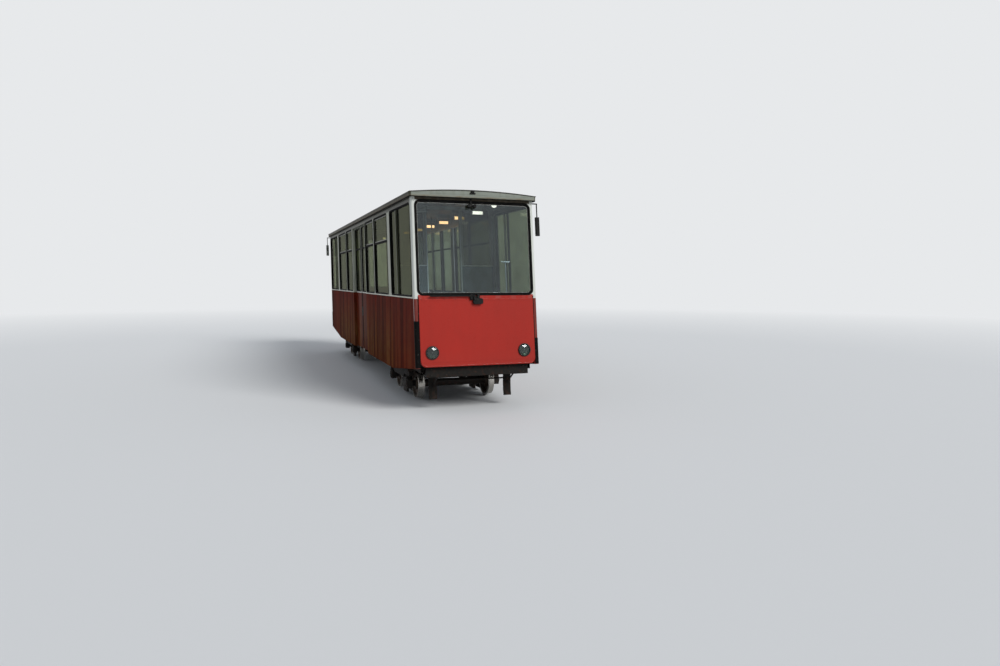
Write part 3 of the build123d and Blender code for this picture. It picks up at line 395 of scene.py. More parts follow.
def wheel_steel(name, y0):
    """Rolled steel: polished tread and flange, dull brown faces."""
    k = Look(name)
    dy = k.math("SUBTRACT", k.y, y0)
    dz = k.math("SUBTRACT", k.z, WHEEL_R)
    r = k.math("SQRT", k.math("ADD", k.product(dy, dy), k.product(dz, dz)))
    worn = k.ramp(r, 0.284, 0.2915)
    base = k.mix(k.ramp(k.noise(9, 5), 0.35, 0.7), srgb("3A342E"), srgb("4A3A2C"))
    base = k.mix(worn, base, srgb("A9A6A0"))
    fine = k.noise(90, 4)
    rough = k.math("SUBTRACT", k.spread(fine, 0.5, 0.72), k.product(worn, 0.32))
    return k.finish(k.shader(base, rough, fine, 0.2, 0.0015, Metallic=k.ramp(worn, 0, 1, 0.55, 1.0)))


def wood(name):
    """Varnished wood with its grain across the car."""
    k = Look(name)
    grain = k.noise(14, 6, (1, 6, 6), 0.65)
    base = k.mix(k.ramp(grain, 0.35, 0.7), srgb("9A7248"), srgb("6B4526"))
    return k.finish(k.shader(base, k.spread(grain, 0.32, 0.45), grain, 0.2, 0.001, Coat_Weight=0.3))


def floor_covering(name):
    """Grey rubber with ribs along the car."""
    k = Look(name)
    wave = {"Vector": k.place, "Scale": 26.0, "Distortion": 0.0}
    ribs = k.node("ShaderNodeTexWave", wave, bands_direction="X").outputs[1]
    base = k.mix(k.spread(k.noise(4, 5), 0, 1), srgb("3B3C3A"), srgb("524D45"))
    return k.finish(k.shader(base, k.spread(k.noise(20, 3), 0.6, 0.8), ribs, 0.4, 0.002))


def lamp(name, colour, strength):
    """Opal glass with a lit tube behind it."""
    k = Look(name)
    level = k.spread(k.noise(30, 2), strength * 0.85, strength)
    return k.finish(k.shader(srgb("F0E6CC"), k.spread(k.noise(40, 2), 0.3, 0.45), Emission_Color=srgb(colour),
                             Emission_Strength=level))


# The sides and door leaves take a red darker and browner than the front's: partly aged paint, partly painted shade.
SIDE_RED_SHADED = paint("side_red_with_painted_shade", "6E2318", gloss=0.25, tone=0.3, streaks=0.72, streak_colour=DARK_RAIN, bands=3.2,
                 dust=0.78, dust_from=2.05, dust_to=1.0, dust_colour=SIDE_DUST_AND_REFLECTION, ends=(4.6, 3.9), wave=0.8,
                 coat=0.03, level=0.0)
DOOR_PAINT_SHADED = paint("door_cream_and_shaded_red", "6E2318", "A9AC9F", gloss=0.26, tone=0.25, streaks=0.62,
                   streak_colour=DARK_RAIN, bands=3.2, dust=0.62, dust_from=2.05, dust_to=1.0,
                   dust_colour=SIDE_DUST_AND_REFLECTION, wave=0.6, coat=0.08, level=0.0)
FRONT_RED = paint("front_red", "9C251C", tone=0.12, streaks=0.10, streak_colour=(0.16, 0.016, 0.01, 1),
                  dust=0.22, dust_from=1.15, dust_to=0.82, dust_colour=srgb("6E2A20"), wave=0.25)
# The end frames' red under the belt, on the corner posts, is darker than the apron's: painted shade on the corners.
POSTS = paint("post_cream_and_shaded_red", "6A1E17", "C8CCC6", tone=0.08, streaks=0.15, streak_colour=srgb("83837A"),
              dust_colour=srgb("5A2A20"), apron=(SCREEN_SILL + 0.002, SCREEN_X, "9C251C"),
              header_shade=(SCREEN_TOP + 0.003, SCREEN_X, "463F35"))
# The cream darkens near its top with painted shade under the eaves.
CREAM = paint("cream", "B4B7AA", gloss=0.34, tone=0.16, streaks=0.3, streak_colour=srgb("6E6D5E"), dust=0.25,
              coat=0.08, level=0.02, eaves_shade=(3.82, 3.87, 0.88))
BELT_CREAM = paint("belt_cream", "CCCDBD", gloss=0.34, streaks=0.15, dust=0.1)
# The band turns brown towards its foot.
BAND = paint("band_cream", "878D85", gloss=0.36, tone=0.2, streaks=0.35, streak_colour=srgb("6A6A5E"), dust=0.9,
             dust_from=3.990, dust_to=3.955, dust_colour=srgb("66563F"), coat=0.06, level=0.02,
             edge_x=(1.21, "3A382B"))
ROOF = paint("roof_grey", "454744", gloss=0.5, tone=0.35, streaks=0.35, streak_colour=srgb("2D2F2C"), dust=0.0,
             coat=0.0, under="705A3C", seams=1.36)

# Near black, darker than black paint: the frame's own black with painted shade under the car.
FRAME_BLACK = metal("frame_black", "0F0F0E", "1C1814", rough=0.62, metallic=0.0, grain=50, tone=0.7, bump=0.3,
                    rust=0.22, Specular_IOR_Level=0.12)
CAST = metal("cast_steel", "262320", "1B1816", rough=0.62, metallic=0.15, grain=110, tone=0.6, bump=0.5,
             rust=0.3, Specular_IOR_Level=0.2)
CHROME = metal("chrome", "B4B6B4", "8A8B88", rough=0.16, metallic=1.0, grain=40, tone=0.3, bump=0.05)
DARK_RIM = metal("lamp_rim", "2B2C2C", "191A1A", rough=0.3, metallic=0.8)
SASH = metal("sash_metal", "585A50", "45463E", rough=0.4, metallic=0.5)
ALUMINIUM = metal("aluminium", "A4A6A2", "7F807C", rough=0.35, metallic=0.9, grain=80)
DISH = metal("lamp_dish", "6F7472", "4C504E", rough=0.25, metallic=0.9, grain=40, bump=0.05)
SCREEN_STRIP = metal("screen_strip", "6A6C6A", "4A4C4A", rough=0.3, metallic=0.7)
MIRROR = metal("mirror_glass", "C8CCCC", "B0B4B4", rough=0.12, metallic=1.0, grain=20, tone=0.2, bump=0.0)

RUBBER = plain("rubber", "0B0B0B", "161616", rough=0.7, scale=24, tone=0.5, Specular_IOR_Level=0.04)
PLASTIC = plain("black_plastic", "101111", "1B1B1B", rough=0.5, scale=20, Specular_IOR_Level=0.1)
DESK = plain("desk_laminate", "2A4645", "203534", rough=0.4, scale=14, tone=0.5)
PARTITION = plain("partition", "8C8A7C", "6F6D60", rough=0.45, scale=10)
OPAL = plain("opal_glass", "8F8D80", "7B796C", rough=0.3, scale=40, tone=0.3)
LAMP_BODY = plain("lamp_body", "6E6A5C", "565347", rough=0.5)
GAUGE_GREY = plain("gauge_grey", "6E7375", "4A4D4F", rough=0.4)
RED_KNOB = plain("red_knob", "8E1F1B", "5E1412", rough=0.35, tone=0.3)

WOOD = wood("bench_wood")
FLOOR_COVER = floor_covering("floor_rubber")
SIDE_GLASS = glass("side_glass", "AAAD95", 0.038, 0.14, sky=(0.85, 0.88, 0.70, 1))
SCREEN_GLASS = glass("screen_glass", "E4ECEF", 0.05, 0.22)
LENS = glass("lens_glass", "B5C0B8", 0.06, 0.3, smear=0.6)
WARM_LAMP = lamp("warm_lamp", "FFC485", 2.7)
WHITE_LAMP = lamp("white_lamp", "FFF4DE", 1.8)

# The CAD nodes' looks
LOOKS = {
    "side_panels": SIDE_RED_SHADED, "window_walls": CREAM, "end_frames": POSTS, "end_aprons": FRONT_RED,
    "roof_band": BAND, "roof_shell": ROOF, "windscreens": SCREEN_GLASS, "window_panes": SIDE_GLASS,
    "floor_decks": FLOOR_COVER, "sole_bars": FRAME_BLACK, "cross_beams": FRAME_BLACK,
    "driver_desks": DESK, "cab_partitions": PARTITION, "benches": WOOD, "grab_poles": CHROME,
    "ceiling_lamps": LAMP_BODY, "headlamp_bezels": DARK_RIM, "headlamp_lenses": LENS, "wipers": PLASTIC,
    "outside_mirrors": PLASTIC, "brake_power_pack": FRAME_BLACK, "rope_anchor": CAST, "door_tracks": ALUMINIUM,
}
FAMILY_LOOKS = {
    "door_pane": SIDE_GLASS, "door_left": DOOR_PAINT_SHADED, "door_right": DOOR_PAINT_SHADED, "bogie_frame": FRAME_BLACK,
    "axleboxes": CAST, "rail_brakes": CAST, "axle_": CAST,
}
for node, part in NODES.items():
    if node.startswith("wheels_"):
        index = int(node[-1]) - 1
        axle_y = (-BOGIE_Y if index < 2 else BOGIE_Y) + (-AXLE_OUT if index % 2 == 0 else AXLE_OUT)
        look = wheel_steel("wheel_steel_" + node, axle_y)
    elif node in LOOKS:
        look = LOOKS[node]
    else:
        look = next(value for family, value in FAMILY_LOOKS.items() if node.startswith(family))
    part.data.materials.clear()
    part.data.materials.append(look)

WELD_WITHIN, BEVEL_FROM = 0.00002, math.radians(32)


def soften(node, width):
    """Rounds a CAD node's sharp edges for the light; it only takes material away."""
    part = NODES[node]
    weld = part.modifiers.new("weld", "WELD")
    weld.merge_threshold = WELD_WITHIN
    bevel = part.modifiers.new("bevel", "BEVEL")
    bevel.width = width
    bevel.segments = 2
    bevel.limit_method = "ANGLE"
    bevel.angle_limit = BEVEL_FROM
    part.modifiers.new("shade", "WEIGHTED_NORMAL")


for width, names in (
    (0.003, ("floor_decks", "wipers", "outside_mirrors")),
    (0.004, ("side_panels", "end_frames", "rope_anchor", "benches")),
    (0.005, ("window_walls", "roof_shell", "door_left_lower", "door_left_upper", "door_right_lower",
             "door_right_upper")),
    (0.006, ("cross_beams", "brake_power_pack", "rail_brakes_lower", "rail_brakes_upper", "bogie_frame_lower",
             "bogie_frame_upper")),
    (0.008, ("roof_band",)),
    (0.012, ("driver_desks",)),
):
    for node in names:
        soften(node, width)

# Window rubbers, transoms and sashes. A section is a list of (grow, height) points round an outline.
CLEAR = 0.0006
PANE_FACE, PANE_BACK = PANE_OUT + CLEAR, PANE_IN - CLEAR
OUTER_RUBBER = [(0.007, 0.0), (0.007, 0.004), (0.0, 0.008), (-0.010, 0.006), (-0.026, -0.012),
                (-0.028, PANE_FACE), (-0.001, PANE_FACE), (-0.001, 0.0)]
INNER_RUBBER = [(0.010, WALL_IN), (0.010, WALL_IN - 0.001), (-0.004, WALL_IN - 0.0016),
                (-0.018, WALL_IN + 0.008), (-0.020, PANE_BACK), (-0.001, PANE_BACK), (-0.001, WALL_IN)]
HOPPER_SASH = [(0, PANE_FACE), (0, PANE_OUT + 0.012), (-0.018, PANE_OUT + 0.012), (-0.018, PANE_FACE)]
BAR_INSET, HOPPER_INSET, HOPPER_CORNER = 0.022, 0.032, 0.045
BAR_EDGE, BAR_ROUND = 0.002, 0.003
CAB_POST, CAB_SASH = (HALF - 1.30, 0.034), (HALF - 1.48, 0.026)   # (station, width) in a cab's light
outer, inner, transoms, sashes = shapes(4)
for side in SIDES:
    place = side_map(side)
    for index, (s0, s1) in enumerate(WINDOWS):
        for end in ENDS:
            light = rectangle(end * s0, end * s1, SILL, GLASS_TOP)
            outer.ring(light, LIGHT_CORNER, OUTER_RUBBER, place, 5)
            inner.ring(light, LIGHT_CORNER, INNER_RUBBER, place, 4)
            if index < len(WINDOWS) - 1:
                bar = rectangle(end * (s0 + BAR_INSET), end * (s1 - BAR_INSET), *TRANSOM)
                for low, high in ((PANE_FACE, PANE_OUT + 0.020), (WALL_IN + 0.006, PANE_BACK)):
                    transoms.plate(bar, BAR_EDGE, low, high, place, BAR_ROUND, 1)
                hopper = rectangle(end * (s0 + HOPPER_INSET), end * (s1 - HOPPER_INSET),
                                   TRANSOM_Z + 0.026, GLASS_TOP - 0.034)
                sashes.ring(hopper, HOPPER_CORNER, HOPPER_SASH, place, 4)
            else:
                for (station, width), shape in ((CAB_POST, transoms), (CAB_SASH, sashes)):
                    bar = rectangle(end * station - width / 2, end * station + width / 2,
                                    SILL + BAR_INSET, GLASS_TOP - BAR_INSET)
                    shape.plate(bar, BAR_EDGE, PANE_FACE, PANE_OUT + 0.016, place, BAR_ROUND, 1)
                    shape.plate(bar, BAR_EDGE, WALL_IN + 0.01, PANE_BACK, place, BAR_ROUND, 1)
outer.done("side_window_rubbers", "black_plastic", RUBBER)
inner.done("side_window_inner_trims", "black_plastic", RUBBER)
transoms.done("side_window_transoms", "black_plastic", RUBBER)
sashes.done("side_window_sashes", "aluminium", SASH)

# Windscreen rubbers
SCREEN_CORNER, SCREEN_STEPS = 0.10, 8
SCREEN_FACE, SCREEN_REAR = -0.0194, -0.0286
SCREEN_RUBBER = [(0.012, 0.0), (0.014, 0.006), (0.002, 0.011), (-0.018, 0.008), (-0.036, -0.010),
                 (-0.038, SCREEN_FACE), (-0.001, SCREEN_FACE), (-0.001, 0.0)]
SCREEN_BACK = [(-0.001, SCREEN_REAR), (-0.024, SCREEN_REAR), (-0.020, -0.045), (-0.001, -0.045)]
FILLER = [(-0.0385, SCREEN_FACE), (-0.0385, -0.014), (-0.043, -0.014), (-0.045, SCREEN_FACE)]
screen = rectangle(-SCREEN_X, SCREEN_X, SCREEN_SILL, SCREEN_TOP)
rubbers, fillers = shapes(2)
for end in ENDS:
    place = end_map(end)
    rubbers.ring(screen, SCREEN_CORNER, SCREEN_RUBBER, place, SCREEN_STEPS)
    rubbers.ring(screen, SCREEN_CORNER, SCREEN_BACK, place, SCREEN_STEPS)
    fillers.ring(screen, SCREEN_CORNER, FILLER, place, SCREEN_STEPS)
rubbers.done("windscreen_rubbers", "black_plastic", RUBBER)
fillers.done("windscreen_filler_strips", "chrome_trim", SCREEN_STRIP)

# Belt mouldings, gutters, the light trim on the roof band, and cover strips on the side panels
BEAD_Z = 2.099
BEAD = [(0.0, -0.011), (0.006, -0.009), (0.009, 0.0), (0.006, 0.009), (0.0, 0.011), (-0.0005, 0.011),
        (-0.0005, -0.011)]
GUTTER = [(-0.002, 0.0), (-0.002, -0.016), (-0.007, -0.018), (-0.024, -0.010), (-0.024, 0.0)]
BAND_BEAD = [(0.0003, -0.007), (0.004, -0.006), (0.005, 0.0), (0.004, 0.006), (0.0003, 0.007)]
BAND_CORNER, BAND_BEAD_Z = 0.06, BAND_TOP - 0.012
belt, gutter, trim = shapes(3)
for side in SIDES:
    place = side_map(side)
    for end in ENDS:
        stations = [end * (DOOR_LEAF + 0.004), end * (WALL_END - 0.002)]
        belt.loops([[place(s, BEAD_Z + b, h) for h, b in BEAD] for s in stations])
roof_plan = rectangle(-ROOF_X, ROOF_X, -HALF - BAND_END, HALF + BAND_END)
gutter.ring(roof_plan, BAND_CORNER, GUTTER, xy_map(y_at(0, EAVE), EAVE), 6)
trim.ring(roof_plan, BAND_CORNER, BAND_BEAD, xy_map(y_at(0, BAND_BEAD_Z), BAND_BEAD_Z), 6)

SWEEP_START, SWEEP_RISE = HALF - 2.19, 0.23
STRIP_FOOT, STRIP_HEIGHT = 0.594, 0.018
STRIP_TOP = STRIP_FOOT + STRIP_HEIGHT
STRIP_CORNER, STRIP_ROUND = 0.003, 0.001
SEAM_HALF, SEAM_FOOT, SEAM_TOP = 0.009, 0.60, 2.06
SKIN = 0.0003
panel_strips = Shape()
for side in SIDES:
    place = side_map(side)
    for end in ENDS:
        for station in (SWEEP_START, DOOR_BAY):
            joint = rectangle(end * station - SEAM_HALF, end * station + SEAM_HALF, SEAM_FOOT, SEAM_TOP)
            panel_strips.plate(joint, STRIP_CORNER, SKIN, 0.0035, place, STRIP_ROUND, 2)
        s0, s1 = span(end, DOOR_LEAF + 0.03, SWEEP_START)
        tip = WALL_END - 0.02
        tip_z = STRIP_FOOT + SWEEP_RISE * (tip - SWEEP_START) / (HALF - SWEEP_START)
        swept = [(end * SWEEP_START, STRIP_FOOT), (end * tip, tip_z), (end * tip, tip_z + STRIP_HEIGHT),
                 (end * SWEEP_START, STRIP_TOP)]
        for outline in (rectangle(s0, s1, STRIP_FOOT, STRIP_TOP), swept[::end]):
            panel_strips.plate(outline, STRIP_CORNER, SKIN, 0.004, place, STRIP_ROUND, 2)
panel_strips.done("side_panel_strips", "red_paint", SIDE_RED_SHADED)
belt.done("belt_mouldings", "cream_paint", BELT_CREAM)
gutter.done("roof_drip_strips", "black_plastic", RUBBER)
trim.done("roof_band_trim", "cream_paint", BAND)

# End faces: corner strips, apron edges and screws, markers on the roof band, twin fitting over the screen
# The corner strips are black rubber; the hand -1 strip reaches higher than the other, and that extra reach is partly
# painted shade.
CORNER_LOW, CORNER_TOPS = 0.832, ((-1, 1.675), (1, 1.32))   # (hand, height)
CORNER_RADIUS, CORNER_RETURN = 0.035, 0.075
STRIP_IN, STRIP_OUT = 0.0004, 0.006
APRON_FACE = 0.0122
APRON_X, APRON_FOOT, APRON_TOP, APRON_CORNER, APRON_STEPS = 1.118, 0.842, 2.02, 0.108, 6
APRON_SEAM_X, APRON_SEAMS_Z = 1.06, (2.045, 0.925)
SCREW_Z, SCREW_COUNT, SCREW_FIRST, SCREW_PITCH = 2.064, 11, -1.07, 0.214
SCREW = [(0.007, APRON_FACE), (0.007, 0.0135), (0.004, 0.0152), (0.0, 0.0155)]
ROUND_MARKER = [(0.033, -0.01), (0.033, 0.022), (0.028, 0.034), (0.015, 0.041), (0.0, 0.043)]
FLAT_MARKER = [(0.026, 0.0038), (0.026, 0.0052), (0.018, 0.0066), (0.0, 0.007)]
FITTING_X, CUP_OFF, CUP_Z = 0.05, 0.055, 3.793
FITTING_CUP = [(0.036, 0.020), (0.036, 0.066), (0.030, 0.076), (0.022, 0.078), (0.020, 0.070), (0.0, 0.070)]
strips, edgings, screws, markers, fittings = shapes(5)
for end in ENDS:
    place = end_map(end)
    for hand, top_z in CORNER_TOPS:
        side = hand if end < 0 else -hand
        plan = [(SCREEN_X - 0.002, 0.0)]
        plan += [(SIDE_X - CORNER_RADIUS + CORNER_RADIUS * math.sin(t), CORNER_RADIUS - CORNER_RADIUS * math.cos(t))
                 for t in [math.radians(15 * i) for i in range(7)]]
        plan += [(SIDE_X, CORNER_RETURN)]
        outward = []
        for (a, b), (c, d) in zip([plan[0]] + plan[:-1], plan[1:] + [plan[-1]]):
            outward.append(Vector((b - d, c - a)).normalized() * -1)
        outer_edge = [(a + n.x * STRIP_OUT, b + n.y * STRIP_OUT) for (a, b), n in zip(plan, outward)]
        inner_edge = [(a + n.x * STRIP_IN, b + n.y * STRIP_IN) for (a, b), n in zip(plan, outward)]
        section = outer_edge + inner_edge[::-1]
        strips.loops([[Vector((side * a, y_at(end * HALF, z) - end * b, z)) for a, b in section]
                      for z in (CORNER_LOW, CORNER_LOW + 0.008, top_z - 0.01, top_z)])
        x0, x1 = span(side, SCREEN_X - 0.009, SCREEN_X + 0.007)
        strips.plate(rectangle(x0, x1, 0.87, 2.125), 0.002, SKIN, 0.008, place, 0.002, 2)
    # A folded lip along the apron's sides and foot, and seams under its top edge and over its foot
    foot = [(-APRON_X, APRON_TOP), (-APRON_X, APRON_FOOT), (APRON_X, APRON_FOOT), (APRON_X, APRON_TOP)]
    sides_and_foot = slice(APRON_STEPS + 1, 3 * (APRON_STEPS + 1))
    path = rounded(foot, APRON_CORNER, -0.006, APRON_STEPS)[sides_and_foot]
    inner_path = rounded(foot, APRON_CORNER, -0.020, APRON_STEPS)[sides_and_foot]
    edgings.loops([[place(a, b, APRON_FACE), place(a, b, 0.0150), place((a + c) / 2, (b + d) / 2, 0.0172),
                    place(c, d, 0.0150), place(c, d, APRON_FACE)]
                   for (a, b), (c, d) in zip(path, inner_path)])
    for z in APRON_SEAMS_Z:
        seam = rectangle(-APRON_SEAM_X, APRON_SEAM_X, z - 0.004, z + 0.004)
        edgings.plate(seam, 0.002, APRON_FACE, 0.0142, place, 0.0008, 2)
    for i in range(SCREW_COUNT):
        screws.lathe(SCREW, place, SCREW_FIRST + SCREW_PITCH * i, SCREW_Z, 10)
    band = end_map(end, HALF + BAND_END)
    if end < 0:
        markers.block((-0.095, BAND_TOP - 0.004, -0.01), (0.015, BAND_TOP + 0.020, 0.024), band, 0.006)
        markers.lathe(ROUND_MARKER, band, -0.04, BAND_TOP + 0.038, 24)
    else:
        markers.block((-0.045, EAVE + 0.012, -0.01), (0.045, EAVE + 0.074, 0.004), band, 0.003)
        markers.lathe(FLAT_MARKER, band, 0, EAVE + 0.043, 20)
    middle = end * FITTING_X
    fittings.block((middle - 0.024, 3.82, 0.0), (middle + 0.010, 3.935, 0.026), place, 0.006)
    fittings.block((middle - 0.085, 3.775, 0.018), (middle + 0.085, 3.828, 0.066), place, 0.018)
    for off in (-CUP_OFF, CUP_OFF):
        fittings.lathe(FITTING_CUP, place, middle + off, CUP_Z, 22)
strips.done("corner_rubber_strips", "black_plastic", RUBBER)
edgings.done("apron_edges", "red_paint", FRONT_RED)
screws.done("apron_screws", "chrome_trim", CAST)
markers.done("roof_marker_lamps", "black_plastic", PLASTIC)
fittings.done("screen_top_fittings", "black_plastic", PLASTIC)

# Headlamps: dished reflector, bulb and a ribbed, domed lens that stands for the plain one
REFLECTOR = [(0.100, 0.0125), (0.100, 0.0225), (0.085, 0.0175), (0.055, 0.0145), (0.024, 0.0135), (0.024, 0.0128)]
BULB = [(0.018, 0.0136), (0.018, 0.018), (0.014, 0.022), (0.006, 0.0245), (0, 0.025)]
LENS_RADIUS, LENS_RIM, LENS_RISE, LENS_RINGS = 0.1015, 0.0245, 0.0145, 15
RIB = 0.0009
RIM_SCREW = [(0.0075, 0.0355), (0.0075, 0.038), (0.004, 0.0395), (0, 0.0398)]
RIM_SCREWS_OUT, RIM_SCREWS_AT = 0.1135, (90, 210, 330)
DOME = [(LENS_RADIUS, 0.0228), (LENS_RADIUS, LENS_RIM)]
for i in range(1, LENS_RINGS):
    r = LENS_RADIUS * (1 - i / LENS_RINGS)
    DOME.append((r, LENS_RIM + LENS_RISE * (1 - (r / LENS_RADIUS) ** 2) + (RIB if i % 2 else 0)))
DOME.append((0, 0.0395))
dishes, bulbs, domes, clips = shapes(4)
for end in ENDS:
    place = end_map(end)
    for x in (-LAMP_X, LAMP_X):
        dishes.lathe(REFLECTOR, place, x, LAMP_Z, 40)
        bulbs.lathe(BULB, place, x, LAMP_Z, 20)
        domes.lathe(DOME, place, x, LAMP_Z, 48)
        for t in map(math.radians, RIM_SCREWS_AT):
            clips.lathe(RIM_SCREW, place, x + RIM_SCREWS_OUT * math.cos(t), LAMP_Z + RIM_SCREWS_OUT * math.sin(t), 8)
dishes.done("headlamp_reflectors", "chrome_trim", DISH)
bulbs.done("headlamp_bulbs", "lamp_glass", GAUGE_GREY)
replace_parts(domes.done("headlamp_domes", "lamp_glass", LENS), "headlamp_lenses")
clips.done("headlamp_rim_screws", "chrome_trim", CAST)

# Wiper details and mirror glass
HUB_X, HUB_DROP = -0.069, 0.022
HUB_CAP = [(0.024, 0.060), (0.024, 0.075), (0.016, 0.084), (0.0, 0.086)]
HOUSING_BOLT = [(0.008, 0.0715), (0.008, 0.0755), (0.0, 0.0775)]
HOUSING_BOLTS = ((-0.07, -0.03), (0.07, -0.03), (-0.07, -0.088), (0.07, -0.088))
HOUSINGS = ((-0.150, -0.098, 2.172, 0.056), (-0.098, -0.010, 2.120, 0.040), (-0.010, 0.040, 2.160, 0.056))
BLADE_FROM, BLADE_TO, BLADE_HEIGHT = 0.02, 0.86, 0.007
BLADE_LIFTS = (-0.0165, -0.0336)   # of the two strips of the blade, over the windscreen's sill
MIRROR_X, MIRROR_HALF, MIRROR_FOOT, MIRROR_Z = 1.3, 0.036, 3.28, (3.292, 3.628)
wiper, glass_faces = shapes(2)
for end in ENDS:
    place = end_map(end)
    hub = -end * HUB_X
    wiper.lathe(HUB_CAP, place, hub, BELT - HUB_DROP, 16)
    for a, b in HOUSING_BOLTS:
        wiper.lathe(HOUSING_BOLT, place, a, BELT + b, 6)
    for x0, x1, z1, h1 in HOUSINGS:
        a0, a1 = span(-end, x0, x1)
        wiper.block((a0, 2.05, 0.0005), (a1, z1, h1), place, 0.008)
    for lift in BLADE_LIFTS:
        a0, a1 = sorted((hub - end * BLADE_FROM, hub + end * BLADE_TO))
        z = SCREEN_SILL + lift
        wiper.plate(rectangle(a0, a1, z, z + BLADE_HEIGHT), 0.002, 0.0585, 0.064, place, 0.001, 2)
    x0, x1 = span(-end, MIRROR_X - MIRROR_HALF, MIRROR_X + MIRROR_HALF)
    back = y_at(end * (HALF - 0.04), MIRROR_FOOT)

    def mirror_face(a, b, h, back=back, end=end):
        rise = b - MIRROR_FOOT
        return Vector((a, back - end * (0.030 + h) + SIN_RAKE * rise, MIRROR_FOOT + COS_RAKE * rise))

    glass_faces.plate(rectangle(x0, x1, *MIRROR_Z), 0.015, 0.0004, 0.0022, mirror_face, 0.0008, 4)
wiper.done("wiper_linkages", "black_plastic", PLASTIC)
glass_faces.done("mirror_glasses", "chrome_trim", MIRROR)

# Cabs: instrument binnacles, gauges, levers, buttons and a hand pole with its grip
BINNACLES = ((-0.75, -0.15, 0.14, 0.34, 0.10), (0.25, 0.80, 0.12, 0.30, 0.07))
GAUGE = [(0.045, 0.099), (0.045, 0.106), (0.038, 0.109), (0.036, 0.106), (0.0, 0.106)]
LEVER = [(0.05, -0.006), (0.05, 0.012), (0.02, 0.02), (0.009, 0.03), (0.009, 0.13), (0.0, 0.131)]
KNOB = [(0.008, 0.125), (0.022, 0.135), (0.026, 0.152), (0.018, 0.170), (0.0, 0.176)]
BUTTON = [(0.012, 0.069), (0.012, 0.080), (0.009, 0.084), (0.0, 0.085)]
DESK_TOP, DESK_FALL, DESK_DEPTH = 0.93, 0.09, 0.52
GAUGE_X, GAUGE_PITCH, BUTTON_X, BUTTON_PITCH, LEVER_XS = -0.66, 0.14, 0.33, 0.09, (-0.05, 0.12)
POLE_X, POLE_IN, POLE_FOOT, POLE_HEAD, GRIP_Z, GRIP_HALF = 0.74, 0.30, 0.88, 1.62, 1.6, 0.09
binnacle, gauges, levers, knobs, hand_poles, reds = shapes(6)
for end in ENDS:
    place = cab_map(end)

    def desk(a, b, h, place=place):
        return place(a, b, DESK_TOP - DESK_FALL * b / DESK_DEPTH + h)

    for x0, x1, b0, b1, h1 in BINNACLES:
        a0, a1 = span(-end, x0, x1)
        binnacle.block((a0, b0, -0.01), (a1, b1, h1), desk, 0.02)
    for i in range(4):
        gauges.lathe(GAUGE, desk, -end * (GAUGE_X + GAUGE_PITCH * i), 0.24, 24)
    for x in LEVER_XS:
        levers.lathe(LEVER, desk, -end * x, 0.36, 16)
        knobs.lathe(KNOB, desk, -end * x, 0.36, 16)
    for i in range(5):
        (knobs if i % 2 else reds).lathe(BUTTON, desk, -end * (BUTTON_X + BUTTON_PITCH * i), 0.21, 14)
    pole_x = -end * POLE_X
    hand_poles.sweep([place(pole_x, POLE_IN, h) for h in (POLE_FOOT, POLE_HEAD)], circle(0.014, 14), up=(1, 0, 0))
    hand_poles.sweep([place(pole_x + x, POLE_IN, GRIP_Z) for x in (-GRIP_HALF, GRIP_HALF)], circle(0.012, 12))
binnacle.done("desk_binnacles", "desk_laminate", DESK)
gauges.done("desk_gauges", "black_plastic", GAUGE_GREY)
levers.done("desk_levers", "chrome_trim", CHROME)
knobs.done("desk_knobs", "black_plastic", PLASTIC)
reds.done("desk_buttons", "black_plastic", RED_KNOB)
hand_poles.done("cab_hand_poles", "chrome_trim", CHROME)

# Ceiling lamps: a short glass tube under each body, lit on the right but for the last two, white over
# the lower cab and warm in the saloon, and a dome over each driver
LAMP_Y0, LAMP_PITCH, LAMP_COUNT = y_at(0, 4.047), 1.35, 8
TUBE_Z, TUBE_IN, TUBE_OUT = 3.852, 0.505, 0.735
SOCKET_HALF, LAMP_FOOT = 0.012, 3.962
DOME_X, DOME_Y, DOME_Z = 0.62, 5.37, 3.93
DOME_BASE = [(0.075, -0.06), (0.075, 0.0), (0.060, 0.012), (0.0, 0.012)]
DOME_GLASS = [(0.055, 0.0125), (0.055, 0.035), (0.040, 0.060), (0.018, 0.072), (0.0, 0.074)]
warm, white, unlit, sockets = shapes(4)
for side in SIDES:
    for index in range(LAMP_COUNT):
        y = LAMP_Y0 + LAMP_PITCH * (index - (LAMP_COUNT - 1) / 2)
        glass_tube = unlit if side < 0 or index >= LAMP_COUNT - 2 else warm if index else white
        glass_tube.sweep([(side * TUBE_IN, y, TUBE_Z), (side * TUBE_OUT, y, TUBE_Z)], circle(0.034, 14))
        for x in (TUBE_IN - 0.010, TUBE_OUT + 0.010):
            sockets.sweep([(side * x - SOCKET_HALF, y, TUBE_Z), (side * x + SOCKET_HALF, y, TUBE_Z)],
                          circle(0.037, 14))
            sockets.sweep([(side * x, y, TUBE_Z), (side * x, y, LAMP_FOOT)], circle(0.010, 8), up=(1, 0, 0))
for y in (-DOME_Y, DOME_Y + 2 * LAMP_Y0):

    def hanging(a, b, h, y=y):
        return Vector((a, y + b, DOME_Z - h))

    sockets.lathe(DOME_BASE, hanging, DOME_X, 0.0, 24)
    white.lathe(DOME_GLASS, hanging, DOME_X, 0.0, 24)
warm.done("ceiling_tubes_warm", "lamp_glass", WARM_LAMP)
white.done("ceiling_tubes_white", "lamp_glass", WHITE_LAMP)
unlit.done("ceiling_tubes_unlit", "lamp_glass", OPAL)
sockets.done("ceiling_tube_sockets", "desk_laminate", LAMP_BODY)

